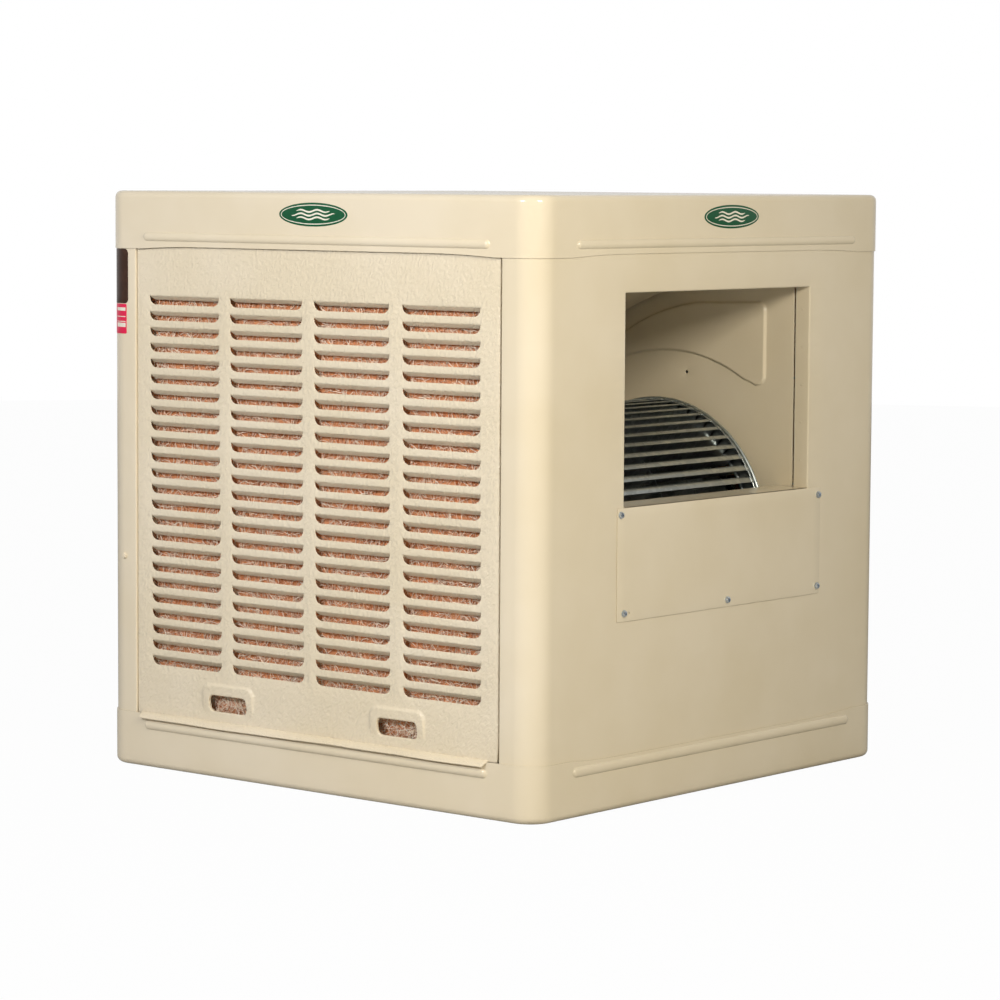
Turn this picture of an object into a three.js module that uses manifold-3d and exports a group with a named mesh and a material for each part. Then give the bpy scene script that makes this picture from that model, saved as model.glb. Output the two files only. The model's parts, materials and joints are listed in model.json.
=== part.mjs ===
// A side-discharge evaporative cooler for greenhouses and nurseries: a square painted-steel cabinet
// with louvred wet-pad panels on three sides, and a belt-driven centrifugal blower that pulls air
// through the pads and blows it out of the opening in the fourth side.
//
// Millimetres. +Z is up, +X is the way the air is blown out, and Y lies along the blower shaft.
// The origin is the centre of the underside of the base pan.

import * as THREE from "three";
import { mergeVertices } from "three/addons/utils/BufferGeometryUtils.js";
import Module from "manifold-3d";

const wasm = await Module();
wasm.setup();

// ---- driving dimensions -----------------------------------------------------------------------

const CABINET_SIDE = 864; // square in plan, outside the two pans
const CABINET_HEIGHT = 888;
const CORNER_RADIUS = 42; // outside, in plan
const SHEET = 1.5; // sheet steel
const GAP = 0.3; // between pieces that touch

const HALF = CABINET_SIDE / 2;
const BASE_PAN_HEIGHT = 84;
const TOP_PAN_BOTTOM = 800; // the lower edge of the top pan's skirt
const PAN_EDGE_RADIUS = 9; // where the walls turn into the floor or the lid
const POST_OUTSIDE = HALF - SHEET - GAP; // the posts stand inside both pans
const POST_EDGE = 365.5; // how far the posts leave each side open, from its middle
const POST_RETURN = 25; // the flange along that edge

const BEAD = { length: 689, width: 13, rise: 4, baseZ: 67, topZ: 818.5 };

const PANEL = {
  width: 728,
  bottom: 85,
  top: TOP_PAN_BOTTOM - 0.8,
  face: HALF - 4.5, // the louvred face lies a little inside the posts
  depth: 42,
  lip: { length: 703, reach: 12, bend: 7, drop: 9 }, // over the rim of the base pan and down
};
const LOUVRE = { rows: 24, topZ: 728.4, pitch: 23.98, height: 15.5, width: 148 };
const LOUVRE_CENTRES = [-257, -85.5, 85.5, 257]; // four columns
const HANDHOLE = { centres: [-171, 171], z: 116, width: 78, height: 26 };
const PAD = { width: 716, bottom: 90, top: 766, front: 12, thickness: 27 };
const TROUGH = { length: 712, bottom: 770, height: 24, front: 7, width: 33, wall: 1.5 };
const RACK = { bar: 4, front: 40.2, uprights: 3, rails: 4 };

const OUTLET = { halfWidth: 229, bottom: 291, top: 748, flange: 30 };
const OUTLET_FLOOR = 439.5; // the lower edge of the open part
const COVER = { width: 508, height: 165, offsetY: 8, thickness: 1.2 };
const COVER_SCREWS = [
  [-239, 429],
  [255.5, 427],
  [-230, 285.5],
  [22, 284],
  [254.5, 285.5],
]; // y, z

const SHAFT = { x: 160, z: 357, radius: 9.5, start: -296, end: 300 };
const WHEEL = {
  radius: 212,
  innerRadius: 172,
  halfWidth: 208,
  blades: 64,
  bladeThickness: 1.6,
  bladeLean: 6, // how far a blade's tip leads its root
  ringThickness: 3,
};
const SCROLL_HALF_WIDTH = 231; // inside the two side sheets
const SCROLL_FRONT = HALF - SHEET - GAP - OUTLET.flange - 0.5;
const SCROLL_FLANGE = 8; // how far the side sheets stand out past the wrap
const INLET_RADIUS = 169;

const BELT_PLANE_Y = 273;
const BELT = { width: 9.5, height: 8 };
const BLOWER_PULLEY_RADIUS = 115;
const MOTOR_PULLEY_RADIUS = 42;
const PULLEY_WIDTH = 22;
const MOTOR = { x: -215, z: 590, radius: 72, start: 20, end: 245, shaftRadius: 6.5 };

const PUMP = { x: -300, y: -300 };
const DISTRIBUTOR = { x: -100, y: 0, z: 815 };
const FLOAT = { x: -250, pivotY: 378, pivotZ: 52, inletZ: 38, armLength: 150, radius: 28 };
const DRAIN = { x: 330, y: -300, bossHeight: 22 };

// ---- materials --------------------------------------------------------------------------------

const material = (color, roughness, metalness) =>
  new THREE.MeshStandardMaterial({ color, roughness, metalness });
const PAINT = material(0xdccfb1, 0.38, 0.0);
const EMBOSSED_PAINT = material(0xd9cbab, 0.5, 0.0);
const GALVANISED = material(0x9aa0a3, 0.4, 0.9);
const BRIGHT_STEEL = material(0xc9ccce, 0.25, 1.0);
const MOTOR_ENAMEL = material(0x3b3e42, 0.5, 0.2);
const ASPEN = material(0xc79a78, 0.95, 0.0);
const BLACK_RUBBER = material(0x18181a, 0.8, 0.0);
const GREY_PLASTIC = material(0x4a4d50, 0.55, 0.0);
const WHITE_PLASTIC = material(0xe6e4dc, 0.5, 0.0);
const BRASS = material(0xb9924a, 0.35, 1.0);
const FLOAT_PLASTIC = material(0xb8402c, 0.5, 0.0);

// ---- geometry helpers -------------------------------------------------------------------------

/** A closed BufferGeometry as a manifold-3d solid. */
function toSolid(geometry) {
  const bare = new THREE.BufferGeometry().setAttribute(
    "position",
    (geometry.index ? geometry.toNonIndexed() : geometry).getAttribute("position"),
  );
  const merged = mergeVertices(bare, 1e-3);
  return new wasm.Manifold(
    new wasm.Mesh({
      numProp: 3,
      vertProperties: merged.attributes.position.array,
      triVerts: new Uint32Array(merged.index.array),
    }),
  );
}

/** A manifold-3d solid as a BufferGeometry. */
function toGeometry(solid) {
  const made = solid.getMesh();
  const geometry = new THREE.BufferGeometry();
  geometry.setAttribute("position", new THREE.BufferAttribute(made.vertProperties, 3));
  geometry.setIndex(new THREE.BufferAttribute(made.triVerts, 1));
  geometry.computeVertexNormals();
  return geometry;
}

const join = (first, ...rest) => rest.reduce((a, b) => a.add(toSolid(b)), toSolid(first));
const cut = (solid, ...tools) => tools.reduce((a, b) => a.subtract(toSolid(b)), solid);

/** A box from its lowest to its highest corner. */
function boxBetween(low, high) {
  const size = high.map((v, i) => v - low[i]);
  const middle = high.map((v, i) => (v + low[i]) / 2);
  return new THREE.BoxGeometry(...size).translate(...middle);
}

/** A solid of revolution about the Y axis through (x, z), from [radius, y] points. */
function turnedAlongY(profile, x, z, segments = 32) {
  const points = profile.map(([r, y]) => new THREE.Vector2(r, y));
  return new THREE.LatheGeometry(points, segments).translate(x, 0, z);
}

/** A solid of revolution about a vertical axis through (x, y), from [radius, z] points. */
function turnedAlongZ(profile, x, y, segments = 24) {
  const points = profile.map(([r, z]) => new THREE.Vector2(r, z));
  return new THREE.LatheGeometry(points, segments).rotateX(Math.PI / 2).translate(x, y, 0);
}

/** Points on an arc about (cx, cy), in degrees, both ends included. */
function arcPoints(cx, cy, radius, from, to, steps) {
  return Array.from({ length: steps + 1 }, (_, i) => {
    const a = THREE.MathUtils.degToRad(from + ((to - from) * i) / steps);
    return [cx + radius * Math.cos(a), cy + radius * Math.sin(a)];
  });
}

/** A path moved sideways to its left by a distance, with mitred corners. */
function offsetPath(path, distance) {
  return path.map((p, i) => {
    const before = path[Math.max(i - 1, 0)];
    const after = path[Math.min(i + 1, path.length - 1)];
    const normalOf = (a, b) => new THREE.Vector2(a[1] - b[1], b[0] - a[0]).normalize();
    const n1 = i > 0 ? normalOf(before, p) : normalOf(p, after);
    const n2 = i < path.length - 1 ? normalOf(p, after) : n1;
    const mitre = n1.clone().add(n2).normalize();
    const stretch = distance / Math.max(mitre.dot(n1), 0.3);
    return [p[0] + mitre.x * stretch, p[1] + mitre.y * stretch];
  });
}

/** A bent sheet's cross-section: a path, thickened to its left. */
const sheetOutline = (path, thickness = SHEET) => [...path, ...offsetPath(path, thickness).reverse()];

const toShape = (points) => new THREE.Shape(points.map(([x, y]) => new THREE.Vector2(x, y)));

/** An outline in (x, y) extruded from z = low to z = high. */
function extrudedUp(outline, low, high) {
  const shape = outline instanceof THREE.Shape ? outline : toShape(outline);
  return new THREE.ExtrudeGeometry(shape, {
    depth: high - low,
    bevelEnabled: false,
    curveSegments: 12,
  }).translate(0, 0, low);
}

/** An outline in (x, z) extruded from y = low to y = high. */
function extrudedAcross(outline, low, high) {
  return extrudedUp(outline, -high, -low).rotateX(Math.PI / 2);
}

/** A round tube along a smooth curve through the points. */
function tubeAlong(points, radius, steps) {
  const curve = new THREE.CatmullRomCurve3(
    points.map((p) => new THREE.Vector3(...p)),
    false,
    "centripetal",
  );
  const section = toShape(arcPoints(0, 0, radius, 0, 315, 7));
  return new THREE.ExtrudeGeometry(section, { extrudePath: curve, steps, bevelEnabled: false });
}

/** A ring of points round a rounded square, counter-clockwise from above. */
function roundedSquareRing(half, radius, z, steps = 6) {
  const c = half - radius;
  const corners = [
    [c, c, 0],
    [-c, c, 90],
    [-c, -c, 180],
    [c, -c, 270],
  ];
  return corners.flatMap(([x, y, turn]) =>
    arcPoints(x, y, radius, turn, turn + 90, steps).map(([px, py]) => [px, py, z]),
  );
}

/** A closed solid through a stack of rings of equal length, each end closed at its middle. */
function lofted(rings) {
  const n = rings[0].length;
  const positions = [...rings.flat(2)];
  const first = rings.length * n;
  positions.push(0, 0, rings[0][0][2], 0, 0, rings.at(-1)[0][2]);
  const faces = [];
  for (let i = 0; i < n; i++) {
    const j = (i + 1) % n;
    faces.push(first, j, i);
    for (let k = 0; k + 1 < rings.length; k++) {
      const [a, b] = [k * n + i, k * n + j];
      faces.push(a, b, b + n, a, b + n, a + n);
    }
    const last = (rings.length - 1) * n;
    faces.push(first + 1, last + i, last + j);
  }
  const geometry = new THREE.BufferGeometry();
  geometry.setAttribute("position", new THREE.Float32BufferAttribute(positions, 3));
  geometry.setIndex(faces);
  return geometry.toNonIndexed();
}

/** A named mesh from a BufferGeometry or a manifold-3d solid. */
function piece(name, shape, look) {
  const mesh = new THREE.Mesh(shape.isBufferGeometry ? shape : toGeometry(shape), look);
  mesh.name = name;
  return mesh;
}

const groupOf = (...children) => new THREE.Group().add(...children);

// ---- cabinet shell ----------------------------------------------------------------------------

/** The four raised stiffening beads of a pan, each on its own side. */
function beads(z, sides) {
  const r = BEAD.width / 2;
  const reach = BEAD.length / 2 - r;
  const stadium = [...arcPoints(reach, 0, r, -90, 90, 6), ...arcPoints(-reach, 0, r, 90, 270, 6)];
  return sides.map((turn) =>
    extrudedAcross(stadium, -HALF - BEAD.rise, -HALF + SHEET / 2)
      .translate(0, 0, z)
      .rotateZ(turn),
  );
}

/** A shallow drawn pan with round corners, open upwards: the walls, a turned edge and a floor. */
function drawnPan(height) {
  const edge = (half, radius, low) =>
    arcPoints(0, 0, radius, -90, 0, 3).map(([dx, dz]) =>
      roundedSquareRing(half - radius + dx, CORNER_RADIUS - (HALF - half) - radius + dx, low + radius + dz),
    );
  const inside = HALF - SHEET;
  return lofted([
    ...edge(HALF, PAN_EDGE_RADIUS, 0),
    roundedSquareRing(HALF, CORNER_RADIUS, height),
    roundedSquareRing(inside, CORNER_RADIUS - SHEET, height),
    ...edge(inside, PAN_EDGE_RADIUS - SHEET, SHEET).reverse(),
  ]);
}

const ALL_SIDES = [0, Math.PI / 2, Math.PI, -Math.PI / 2];

function basePan() {
  const boss = turnedAlongZ([[0, 0.5], [30, 0.5], [30, DRAIN.bossHeight], [0, DRAIN.bossHeight]], DRAIN.x, DRAIN.y);
  const underside = DRAIN.bossHeight - SHEET;
  const hollow = turnedAlongZ([[0, -1], [28.5, -1], [28.5, underside], [0, underside]], DRAIN.x, DRAIN.y);
  const hole = turnedAlongZ([[0, 10], [12, 10], [12, 30], [0, 30]], DRAIN.x, DRAIN.y, 16);
  const inlet = turnedAlongY([[0, 425], [8.5, 425], [8.5, 440], [0, 440]], FLOAT.x, FLOAT.inletZ, 16);
  const shell = join(drawnPan(BASE_PAN_HEIGHT), ...beads(BEAD.baseZ, ALL_SIDES), boss);
  return piece("base_pan", cut(shell, hollow, hole, inlet), PAINT);
}

function topPan() {
  const lid = drawnPan(CABINET_HEIGHT - TOP_PAN_BOTTOM).rotateX(Math.PI).translate(0, 0, CABINET_HEIGHT);
  return piece("top_pan", join(lid, ...beads(BEAD.topZ, ALL_SIDES)), PAINT);
}

const POST_BOTTOM = 12;
const POST_TOP = 874;

/** Half of a corner's plan: the flange, the leg along Y = -POST_OUTSIDE, and the round corner. */
function cornerPath() {
  const r = CORNER_RADIUS - SHEET - GAP;
  const c = POST_OUTSIDE - r;
  return [
    [POST_EDGE, -POST_OUTSIDE + POST_RETURN],
    [POST_EDGE, -POST_OUTSIDE],
    ...arcPoints(c, -c, r, -90, 0, 6),
  ];
}

const mirrored = (path) => path.map(([x, y]) => [x, -y]).reverse();

/** The sheet that wraps both front corners and carries the flanged air outlet. */
function dischargePanel() {
  const path = [...cornerPath(), ...mirrored(cornerPath())];
  const wrap = toSolid(extrudedUp(sheetOutline(path), POST_BOTTOM, POST_TOP));
  const { halfWidth: w, bottom, top, flange } = OUTLET;
  const collar = boxBetween(
    [POST_OUTSIDE - flange, -w - SHEET, bottom - SHEET],
    [POST_OUTSIDE - SHEET / 2, w + SHEET, top + SHEET],
  );
  const opening = boxBetween([POST_OUTSIDE - flange - 5, -w, bottom], [POST_OUTSIDE + 5, w, top]);
  return piece("discharge_panel", cut(wrap.add(toSolid(collar)), opening), PAINT);
}

/** A rear corner post; side is -1 for the left one (Y < 0) and 1 for the right one. */
function rearPost(name, side) {
  const path = cornerPath();
  const outline = sheetOutline([
    ...path,
    [POST_OUTSIDE, -POST_EDGE],
    [POST_OUTSIDE - POST_RETURN, -POST_EDGE],
  ]);
  const post = extrudedUp(outline, POST_BOTTOM, POST_TOP).rotateZ(side < 0 ? -Math.PI / 2 : Math.PI);
  return piece(name, post, PAINT);
}

/** A hex-headed sheet-metal screw whose head sits on x = seat, pointing out along +X. */
function hexScrew(name, seat, y, z, look = BRIGHT_STEEL) {
  const washer = [[0, seat], [5.2, seat], [5.2, seat + 1.1], [0, seat + 1.1]];
  const head = [[0, seat + 1], [4.4, seat + 1], [4.4, seat + 4], [0, seat + 4]];
  const turn = (profile, n) =>
    new THREE.LatheGeometry(profile.map(([r, h]) => new THREE.Vector2(r, h)), n)
      .rotateZ(-Math.PI / 2)
      .translate(0, y, z);
  return piece(name, join(turn(washer, 12), turn(head, 6)), look);
}

function coverPlate() {
  const x = POST_OUTSIDE + GAP;
  const top = OUTLET_FLOOR - 1;
  const low = [x, COVER.offsetY - COVER.width / 2, top - COVER.height];
  const high = [x + COVER.thickness, COVER.offsetY + COVER.width / 2, top];
  const seat = x + COVER.thickness + GAP;
  return groupOf(
    piece("outlet_cover_plate", boxBetween(low, high), PAINT),
    ...COVER_SCREWS.map(([y, z], i) => hexScrew(`cover_screw_${i + 1}`, seat, y, z)),
  );
}

/** The painted screws that hold the rear posts, on the two sides. */
function postScrews() {
  const screw = (name, turn) => {
    const made = hexScrew(name, POST_OUTSIDE + GAP, 0, 326, PAINT);
    return groupOf(made).rotateZ(turn);
  };
  const left = screw("post_screw_left", -Math.PI / 2);
  const right = screw("post_screw_right", Math.PI / 2);
  left.position.x = -390;
  right.position.x = -390;
  return groupOf(left, right);
}

// ---- wet-pad panels ---------------------------------------------------------------------------

/** The louvred tray of a pad panel, facing -Y, with its face on y = 0 and its depth towards +Y. */
function louvredTray() {
  const half = PANEL.width / 2;
  const windows = [];
  const window = (x, z, width, height) =>
    windows.push(boxBetween([x - width / 2, -1, z - height / 2], [x + width / 2, SHEET + 1, z + height / 2]));
  for (let row = 0; row < LOUVRE.rows; row++) {
    const z = LOUVRE.topZ - row * LOUVRE.pitch - LOUVRE.height / 2;
    for (const x of LOUVRE_CENTRES) window(x, z, LOUVRE.width, LOUVRE.height);
  }
  for (const x of HANDHOLE.centres) window(x, HANDHOLE.z, HANDHOLE.width, HANDHOLE.height);
  const { depth, bottom, top } = PANEL;
  const channel = sheetOutline([[-half, depth], [-half, 0], [half, 0], [half, depth]]);
  const sill = boxBetween([-half + 1, 1, bottom + 0.3], [half - 1, depth - 0.5, bottom + 0.3 + SHEET]);
  const { length, reach, drop, bend } = PANEL.lip;
  const z = bottom + 0.6;
  const lipSection = sheetOutline([[-reach, z - drop], [-bend, z], [0.8, z]], SHEET);
  const lip = extrudedUp(lipSection, -length / 2, length / 2)
    .applyMatrix4(new THREE.Matrix4().set(0, 0, 1, 0, 1, 0, 0, 0, 0, 1, 0, 0, 0, 0, 0, 1));
  return cut(join(extrudedUp(channel, bottom, top), sill, lip), ...windows);
}

/** The channel above a pad that lets water down onto it. */
function waterTrough() {
  const { length, bottom, height, front, width, wall } = TROUGH;
  const outer = boxBetween([-length / 2, front, bottom], [length / 2, front + width, bottom + height]);
  const inner = boxBetween(
    [-length / 2 + wall, front + wall, bottom + wall],
    [length / 2 - wall, front + width - wall, bottom + height + 1],
  );
  return cut(toSolid(outer), inner);
}

/** The wire rack that holds a pad in its tray. */
function padRack() {
  const { bar, front, uprights, rails } = RACK;
  const half = PANEL.width / 2 - SHEET - 2;
  const [low, high] = [PANEL.bottom + SHEET + 2, PAD.top];
  const frame = cut(
    toSolid(boxBetween([-half, front, low], [half, front + bar, high])),
    boxBetween([-half + bar, front - 1, low + bar], [half - bar, front + bar + 1, high - bar]),
  );
  let rack = frame;
  for (let i = 1; i < uprights; i++) {
    const x = -half + ((2 * half) * i) / uprights;
    rack = rack.add(toSolid(boxBetween([x - bar / 2, front, low + 1], [x + bar / 2, front + bar, high - 1])));
  }
  for (let i = 1; i < rails; i++) {
    const z = low + ((high - low) * i) / rails;
    rack = rack.add(toSolid(boxBetween([-half + 1, front, z - bar / 2], [half - 1, front + bar, z + bar / 2])));
  }
  return rack;
}

function padPanels() {
  const tray = toGeometry(louvredTray());
  const trough = toGeometry(waterTrough());
  const rack = toGeometry(padRack());
  const pad = boxBetween(
    [-PAD.width / 2, PAD.front, PAD.bottom],
    [PAD.width / 2, PAD.front + PAD.thickness, PAD.top],
  );
  const panel = (side, turn) => {
    const parts = groupOf(
      piece(`louvred_panel_${side}`, tray, EMBOSSED_PAINT),
      piece(`aspen_pad_${side}`, pad, ASPEN),
      piece(`water_trough_${side}`, trough, GALVANISED),
      piece(`pad_rack_${side}`, rack, GALVANISED),
    );
    parts.position.y = -PANEL.face;
    return groupOf(parts).rotateZ(turn);
  };
  return groupOf(panel("left", 0), panel("right", Math.PI), panel("rear", -Math.PI / 2));
}

// ---- blower -----------------------------------------------------------------------------------

const CUTOFF_X = 368; // the nose of the cutoff, close to the wheel
const SPIRAL = [
  { x: 146, z: 345.9, radius: 240.9, from: 22.85, to: -90, steps: 9 },
  { x: 146, z: 371, radius: 266, from: -90, to: -180, steps: 8 },
  { x: 257, z: 371, radius: 377, from: 180, to: 90, steps: 10 },
];

/** The air side of the scroll in (x, z), from under the outlet, round the wheel, to the outlet's top. */
function scrollPath() {
  const [front, back, top] = SPIRAL.map((a) => arcPoints(a.x, a.z, a.radius, a.from, a.to, a.steps));
  return [
    [POST_OUTSIDE - SHEET - GAP, OUTLET_FLOOR],
    [CUTOFF_X, OUTLET_FLOOR],
    ...front.slice(1),
    ...back.slice(1),
    ...top.slice(1),
    [SCROLL_FRONT, OUTLET.top],
  ];
}

function scrollWrap() {
  const w = OUTLET.halfWidth - GAP;
  return piece("scroll_wrap", extrudedAcross(sheetOutline(scrollPath()), -w, w), PAINT);
}

/** A side sheet of the scroll, with its inlet ring; side is -1 or 1 along Y. */
function scrollSide(name, side) {
  const path = offsetPath(scrollPath().slice(2, -1), SCROLL_FLANGE);
  const outline = [
    [SCROLL_FRONT, OUTLET_FLOOR - SCROLL_FLANGE],
    [CUTOFF_X + 12, OUTLET_FLOOR - SCROLL_FLANGE],
    ...path,
    [SCROLL_FRONT, OUTLET.top + SCROLL_FLANGE],
  ];
  const inner = side * SCROLL_HALF_WIDTH;
  const outer = side * (SCROLL_HALF_WIDTH + SHEET);
  const sheet = extrudedAcross(outline, Math.min(inner, outer), Math.max(inner, outer));
  const [low, high] = [Math.min(inner - side * 16, outer), Math.max(inner - side * 16, outer)];
  const ring = (r, a, b) => turnedAlongY([[0, a], [r, a], [r, b], [0, b]], SHAFT.x, SHAFT.z, 32);
  const throat = join(sheet, ring(INLET_RADIUS + SHEET, low, high));
  return piece(name, cut(throat, ring(INLET_RADIUS, low - 5, high + 5)), PAINT);
}

/** The double-inlet wheel: two end rings, a centre disc on a hub, and forward-curved blades. */
function blowerWheel() {
  const { radius, innerRadius, halfWidth, blades, bladeThickness, bladeLean, ringThickness } = WHEEL;
  const ring = (low) =>
    turnedAlongY(
      [
        [innerRadius + 4, low],
        [radius, low],
        [radius, low + ringThickness],
        [innerRadius + 4, low + ringThickness],
        [innerRadius + 4, low],
      ],
      0,
      0,
      60,
    );
  const bore = SHAFT.radius + GAP;
  const disc = turnedAlongY(
    [[bore, -25], [24, -25], [24, -1], [innerRadius + 6, -1], [innerRadius + 6, 1], [24, 1], [24, 25], [bore, 25], [bore, -25]],
    0,
    0,
    24,
  );
  const section = sheetOutline([[innerRadius, 0], [radius - 2, -bladeLean]], bladeThickness);
  const blade = extrudedAcross(section, -halfWidth + 1, halfWidth - 1);
  let wheel = join(ring(-halfWidth), ring(halfWidth - ringThickness), disc);
  for (let i = 0; i < blades; i++) {
    wheel = wheel.add(toSolid(blade.clone().rotateY((2 * Math.PI * i) / blades)));
  }
  return piece("blower_wheel", toGeometry(wheel).translate(SHAFT.x, 0, SHAFT.z), GALVANISED);
}

function blowerShaft() {
  const { start, end, radius, x, z } = SHAFT;
  return piece("blower_shaft", turnedAlongY([[0, start], [radius, start], [radius, end], [0, end]], x, z, 20), BRIGHT_STEEL);
}

/** A grooved pulley with a web and a hub, about (x, z), in the belt's plane. */
function pulley(name, outer, bore, x, z) {
  const [a, b] = [BELT_PLANE_Y - PULLEY_WIDTH / 2, BELT_PLANE_Y + PULLEY_WIDTH / 2];
  const hub = bore + 10;
  const rim = outer - 18;
  const web = rim > hub + 6 ? [[hub, a], [hub, a + 7], [rim, a + 7], [rim, a]] : [];
  const back = rim > hub + 6 ? [[rim, b], [rim, b - 7], [hub, b - 7], [hub, b]] : [];
  const groove = [
    [outer, BELT_PLANE_Y - 7.2],
    [outer - 11, BELT_PLANE_Y - 5.2],
    [outer - 11, BELT_PLANE_Y + 5.2],
    [outer, BELT_PLANE_Y + 7.2],
  ];
  const profile = [[bore, a], ...web, [outer, a], ...groove, [outer, b], ...back, [bore, b], [bore, a]];
  return piece(name, turnedAlongY(profile, x, z, 24), GALVANISED);
}

/** The two straight runs and two arcs of a belt round both pulleys, at a depth inside their rims. */
function beltLoop(depth) {
  const [dx, dz] = [MOTOR.x - SHAFT.x, MOTOR.z - SHAFT.z];
  const along = THREE.MathUtils.radToDeg(Math.atan2(dz, dx));
  const [big, small] = [BLOWER_PULLEY_RADIUS - depth, MOTOR_PULLEY_RADIUS - depth];
  const open = THREE.MathUtils.radToDeg(Math.acos((big - small) / Math.hypot(dx, dz)));
  return [
    ...arcPoints(SHAFT.x, SHAFT.z, big, along + open, along - open + 360, 22),
    ...arcPoints(MOTOR.x, MOTOR.z, small, along - open, along + open, 12),
  ];
}

function driveBelt() {
  const shape = toShape(beltLoop(1));
  shape.holes.push(toShape(beltLoop(1 + BELT.height)));
  const half = BELT.width / 2;
  return piece("drive_belt", extrudedAcross(shape, BELT_PLANE_Y - half, BELT_PLANE_Y + half), BLACK_RUBBER);
}

/** A bar across an inlet that holds the shaft's bearing, and the bearing; side is -1 or 1 along Y. */
function bearingMount(label, side) {
  const y = side * (SCROLL_HALF_WIDTH + SHEET + GAP);
  const span = (a, b) => [Math.min(y + side * a, y + side * b), Math.max(y + side * a, y + side * b)];
  const [low, high] = span(0, 3);
  const [socketLow, socketHigh] = span(0, 24);
  const bar = boxBetween([-19, low, -186], [19, high, 186]).rotateY(THREE.MathUtils.degToRad(28));
  const tube = (r, a, b) => turnedAlongY([[0, a], [r, a], [r, b], [0, b]], 0, 0, 24);
  const holder = cut(join(bar, tube(30, socketLow, socketHigh)), tube(24, socketLow - 5, socketHigh + 5));
  const bore = SHAFT.radius + GAP;
  const [a, b] = span(-2, 26);
  const bearing = turnedAlongY([[bore, a], [24 - GAP, a], [24 - GAP, b], [bore, b], [bore, a]], SHAFT.x, SHAFT.z, 24);
  return groupOf(
    piece(`bearing_bracket_${label}`, toGeometry(holder).translate(SHAFT.x, 0, SHAFT.z), GALVANISED),
    piece(`shaft_bearing_${label}`, bearing, BRASS),
  );
}

function blower() {
  return groupOf(
    scrollWrap(),
    scrollSide("scroll_side_left", -1),
    scrollSide("scroll_side_right", 1),
    bearingMount("left", -1),
    bearingMount("right", 1),
    blowerWheel(),
    blowerShaft(),
    pulley("blower_pulley", BLOWER_PULLEY_RADIUS, SHAFT.radius + GAP, SHAFT.x, SHAFT.z),
  );
}

// ---- motor and belt drive ---------------------------------------------------------------------

function motor() {
  const { x, z, radius, start, end, shaftRadius } = MOTOR;
  const bore = shaftRadius + GAP;
  const body = turnedAlongY(
    [
      [0, start],
      [radius - 16, start],
      [radius, start + 14],
      [radius, end - 14],
      [radius - 16, end],
      [bore, end],
      [bore, end - 30],
      [0, end - 30],
    ],
    x,
    z,
    32,
  );
  const shaft = [[0, end - 29], [shaftRadius, end - 29], [shaftRadius, end + 47], [0, end + 47]];
  return groupOf(
    piece("blower_motor", body, MOTOR_ENAMEL),
    piece("motor_shaft", turnedAlongY(shaft, x, z, 16), BRIGHT_STEEL),
    pulley("motor_pulley", MOTOR_PULLEY_RADIUS, bore, x, z),
  );
}

/** The bracket on the back of the scroll that carries the motor, and the straps round the motor. */
function motorMount() {
  const { x, z, radius } = MOTOR;
  const arc = SPIRAL[2];
  const seat = arc.radius + SHEET + 2 * GAP;
  const [from, to] = [135, 162]; // on the same flats as the wrap's
  const foot = [...arcPoints(arc.x, arc.z, seat, to, from, 3), ...arcPoints(arc.x, arc.z, seat + 3, from, to, 3)];
  const cheek = [
    ...arcPoints(arc.x, arc.z, seat, to, from, 3),
    [x + 66, z + 40],
    [x + 30, z - 10],
    [x - 50, z - 30],
    [x - 40, z - 78],
  ];
  const plates = [60, 200].map((y) => extrudedAcross(cheek, y, y + 4));
  const hollow = turnedAlongY([[0, 10], [radius + GAP, 10], [radius + GAP, 260], [0, 260]], x, z, 32);
  const strap = (name, y) => {
    const r = radius + GAP;
    const profile = [[r, y], [r + 1.5, y], [r + 1.5, y + 16], [r, y + 16], [r, y]];
    return piece(name, turnedAlongY(profile, x, z, 32), GALVANISED);
  };
  return groupOf(
    piece("motor_mount", cut(join(extrudedAcross(foot, 50, 214), ...plates), hollow), GALVANISED),
    strap("motor_strap_inner", 66),
    strap("motor_strap_outer", 180),
  );
}

/** The wiring box in the rear left corner post. */
function junctionBox() {
  const box = boxBetween([-412, -412, 560], [-368, -368, 670]);
  const gland = turnedAlongZ([[0, 548], [9, 548], [9, 561], [0, 561]], -390, -390, 12);
  return piece("junction_box", join(box, gland), GREY_PLASTIC);
}

// ---- water system -----------------------------------------------------------------------------

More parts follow.
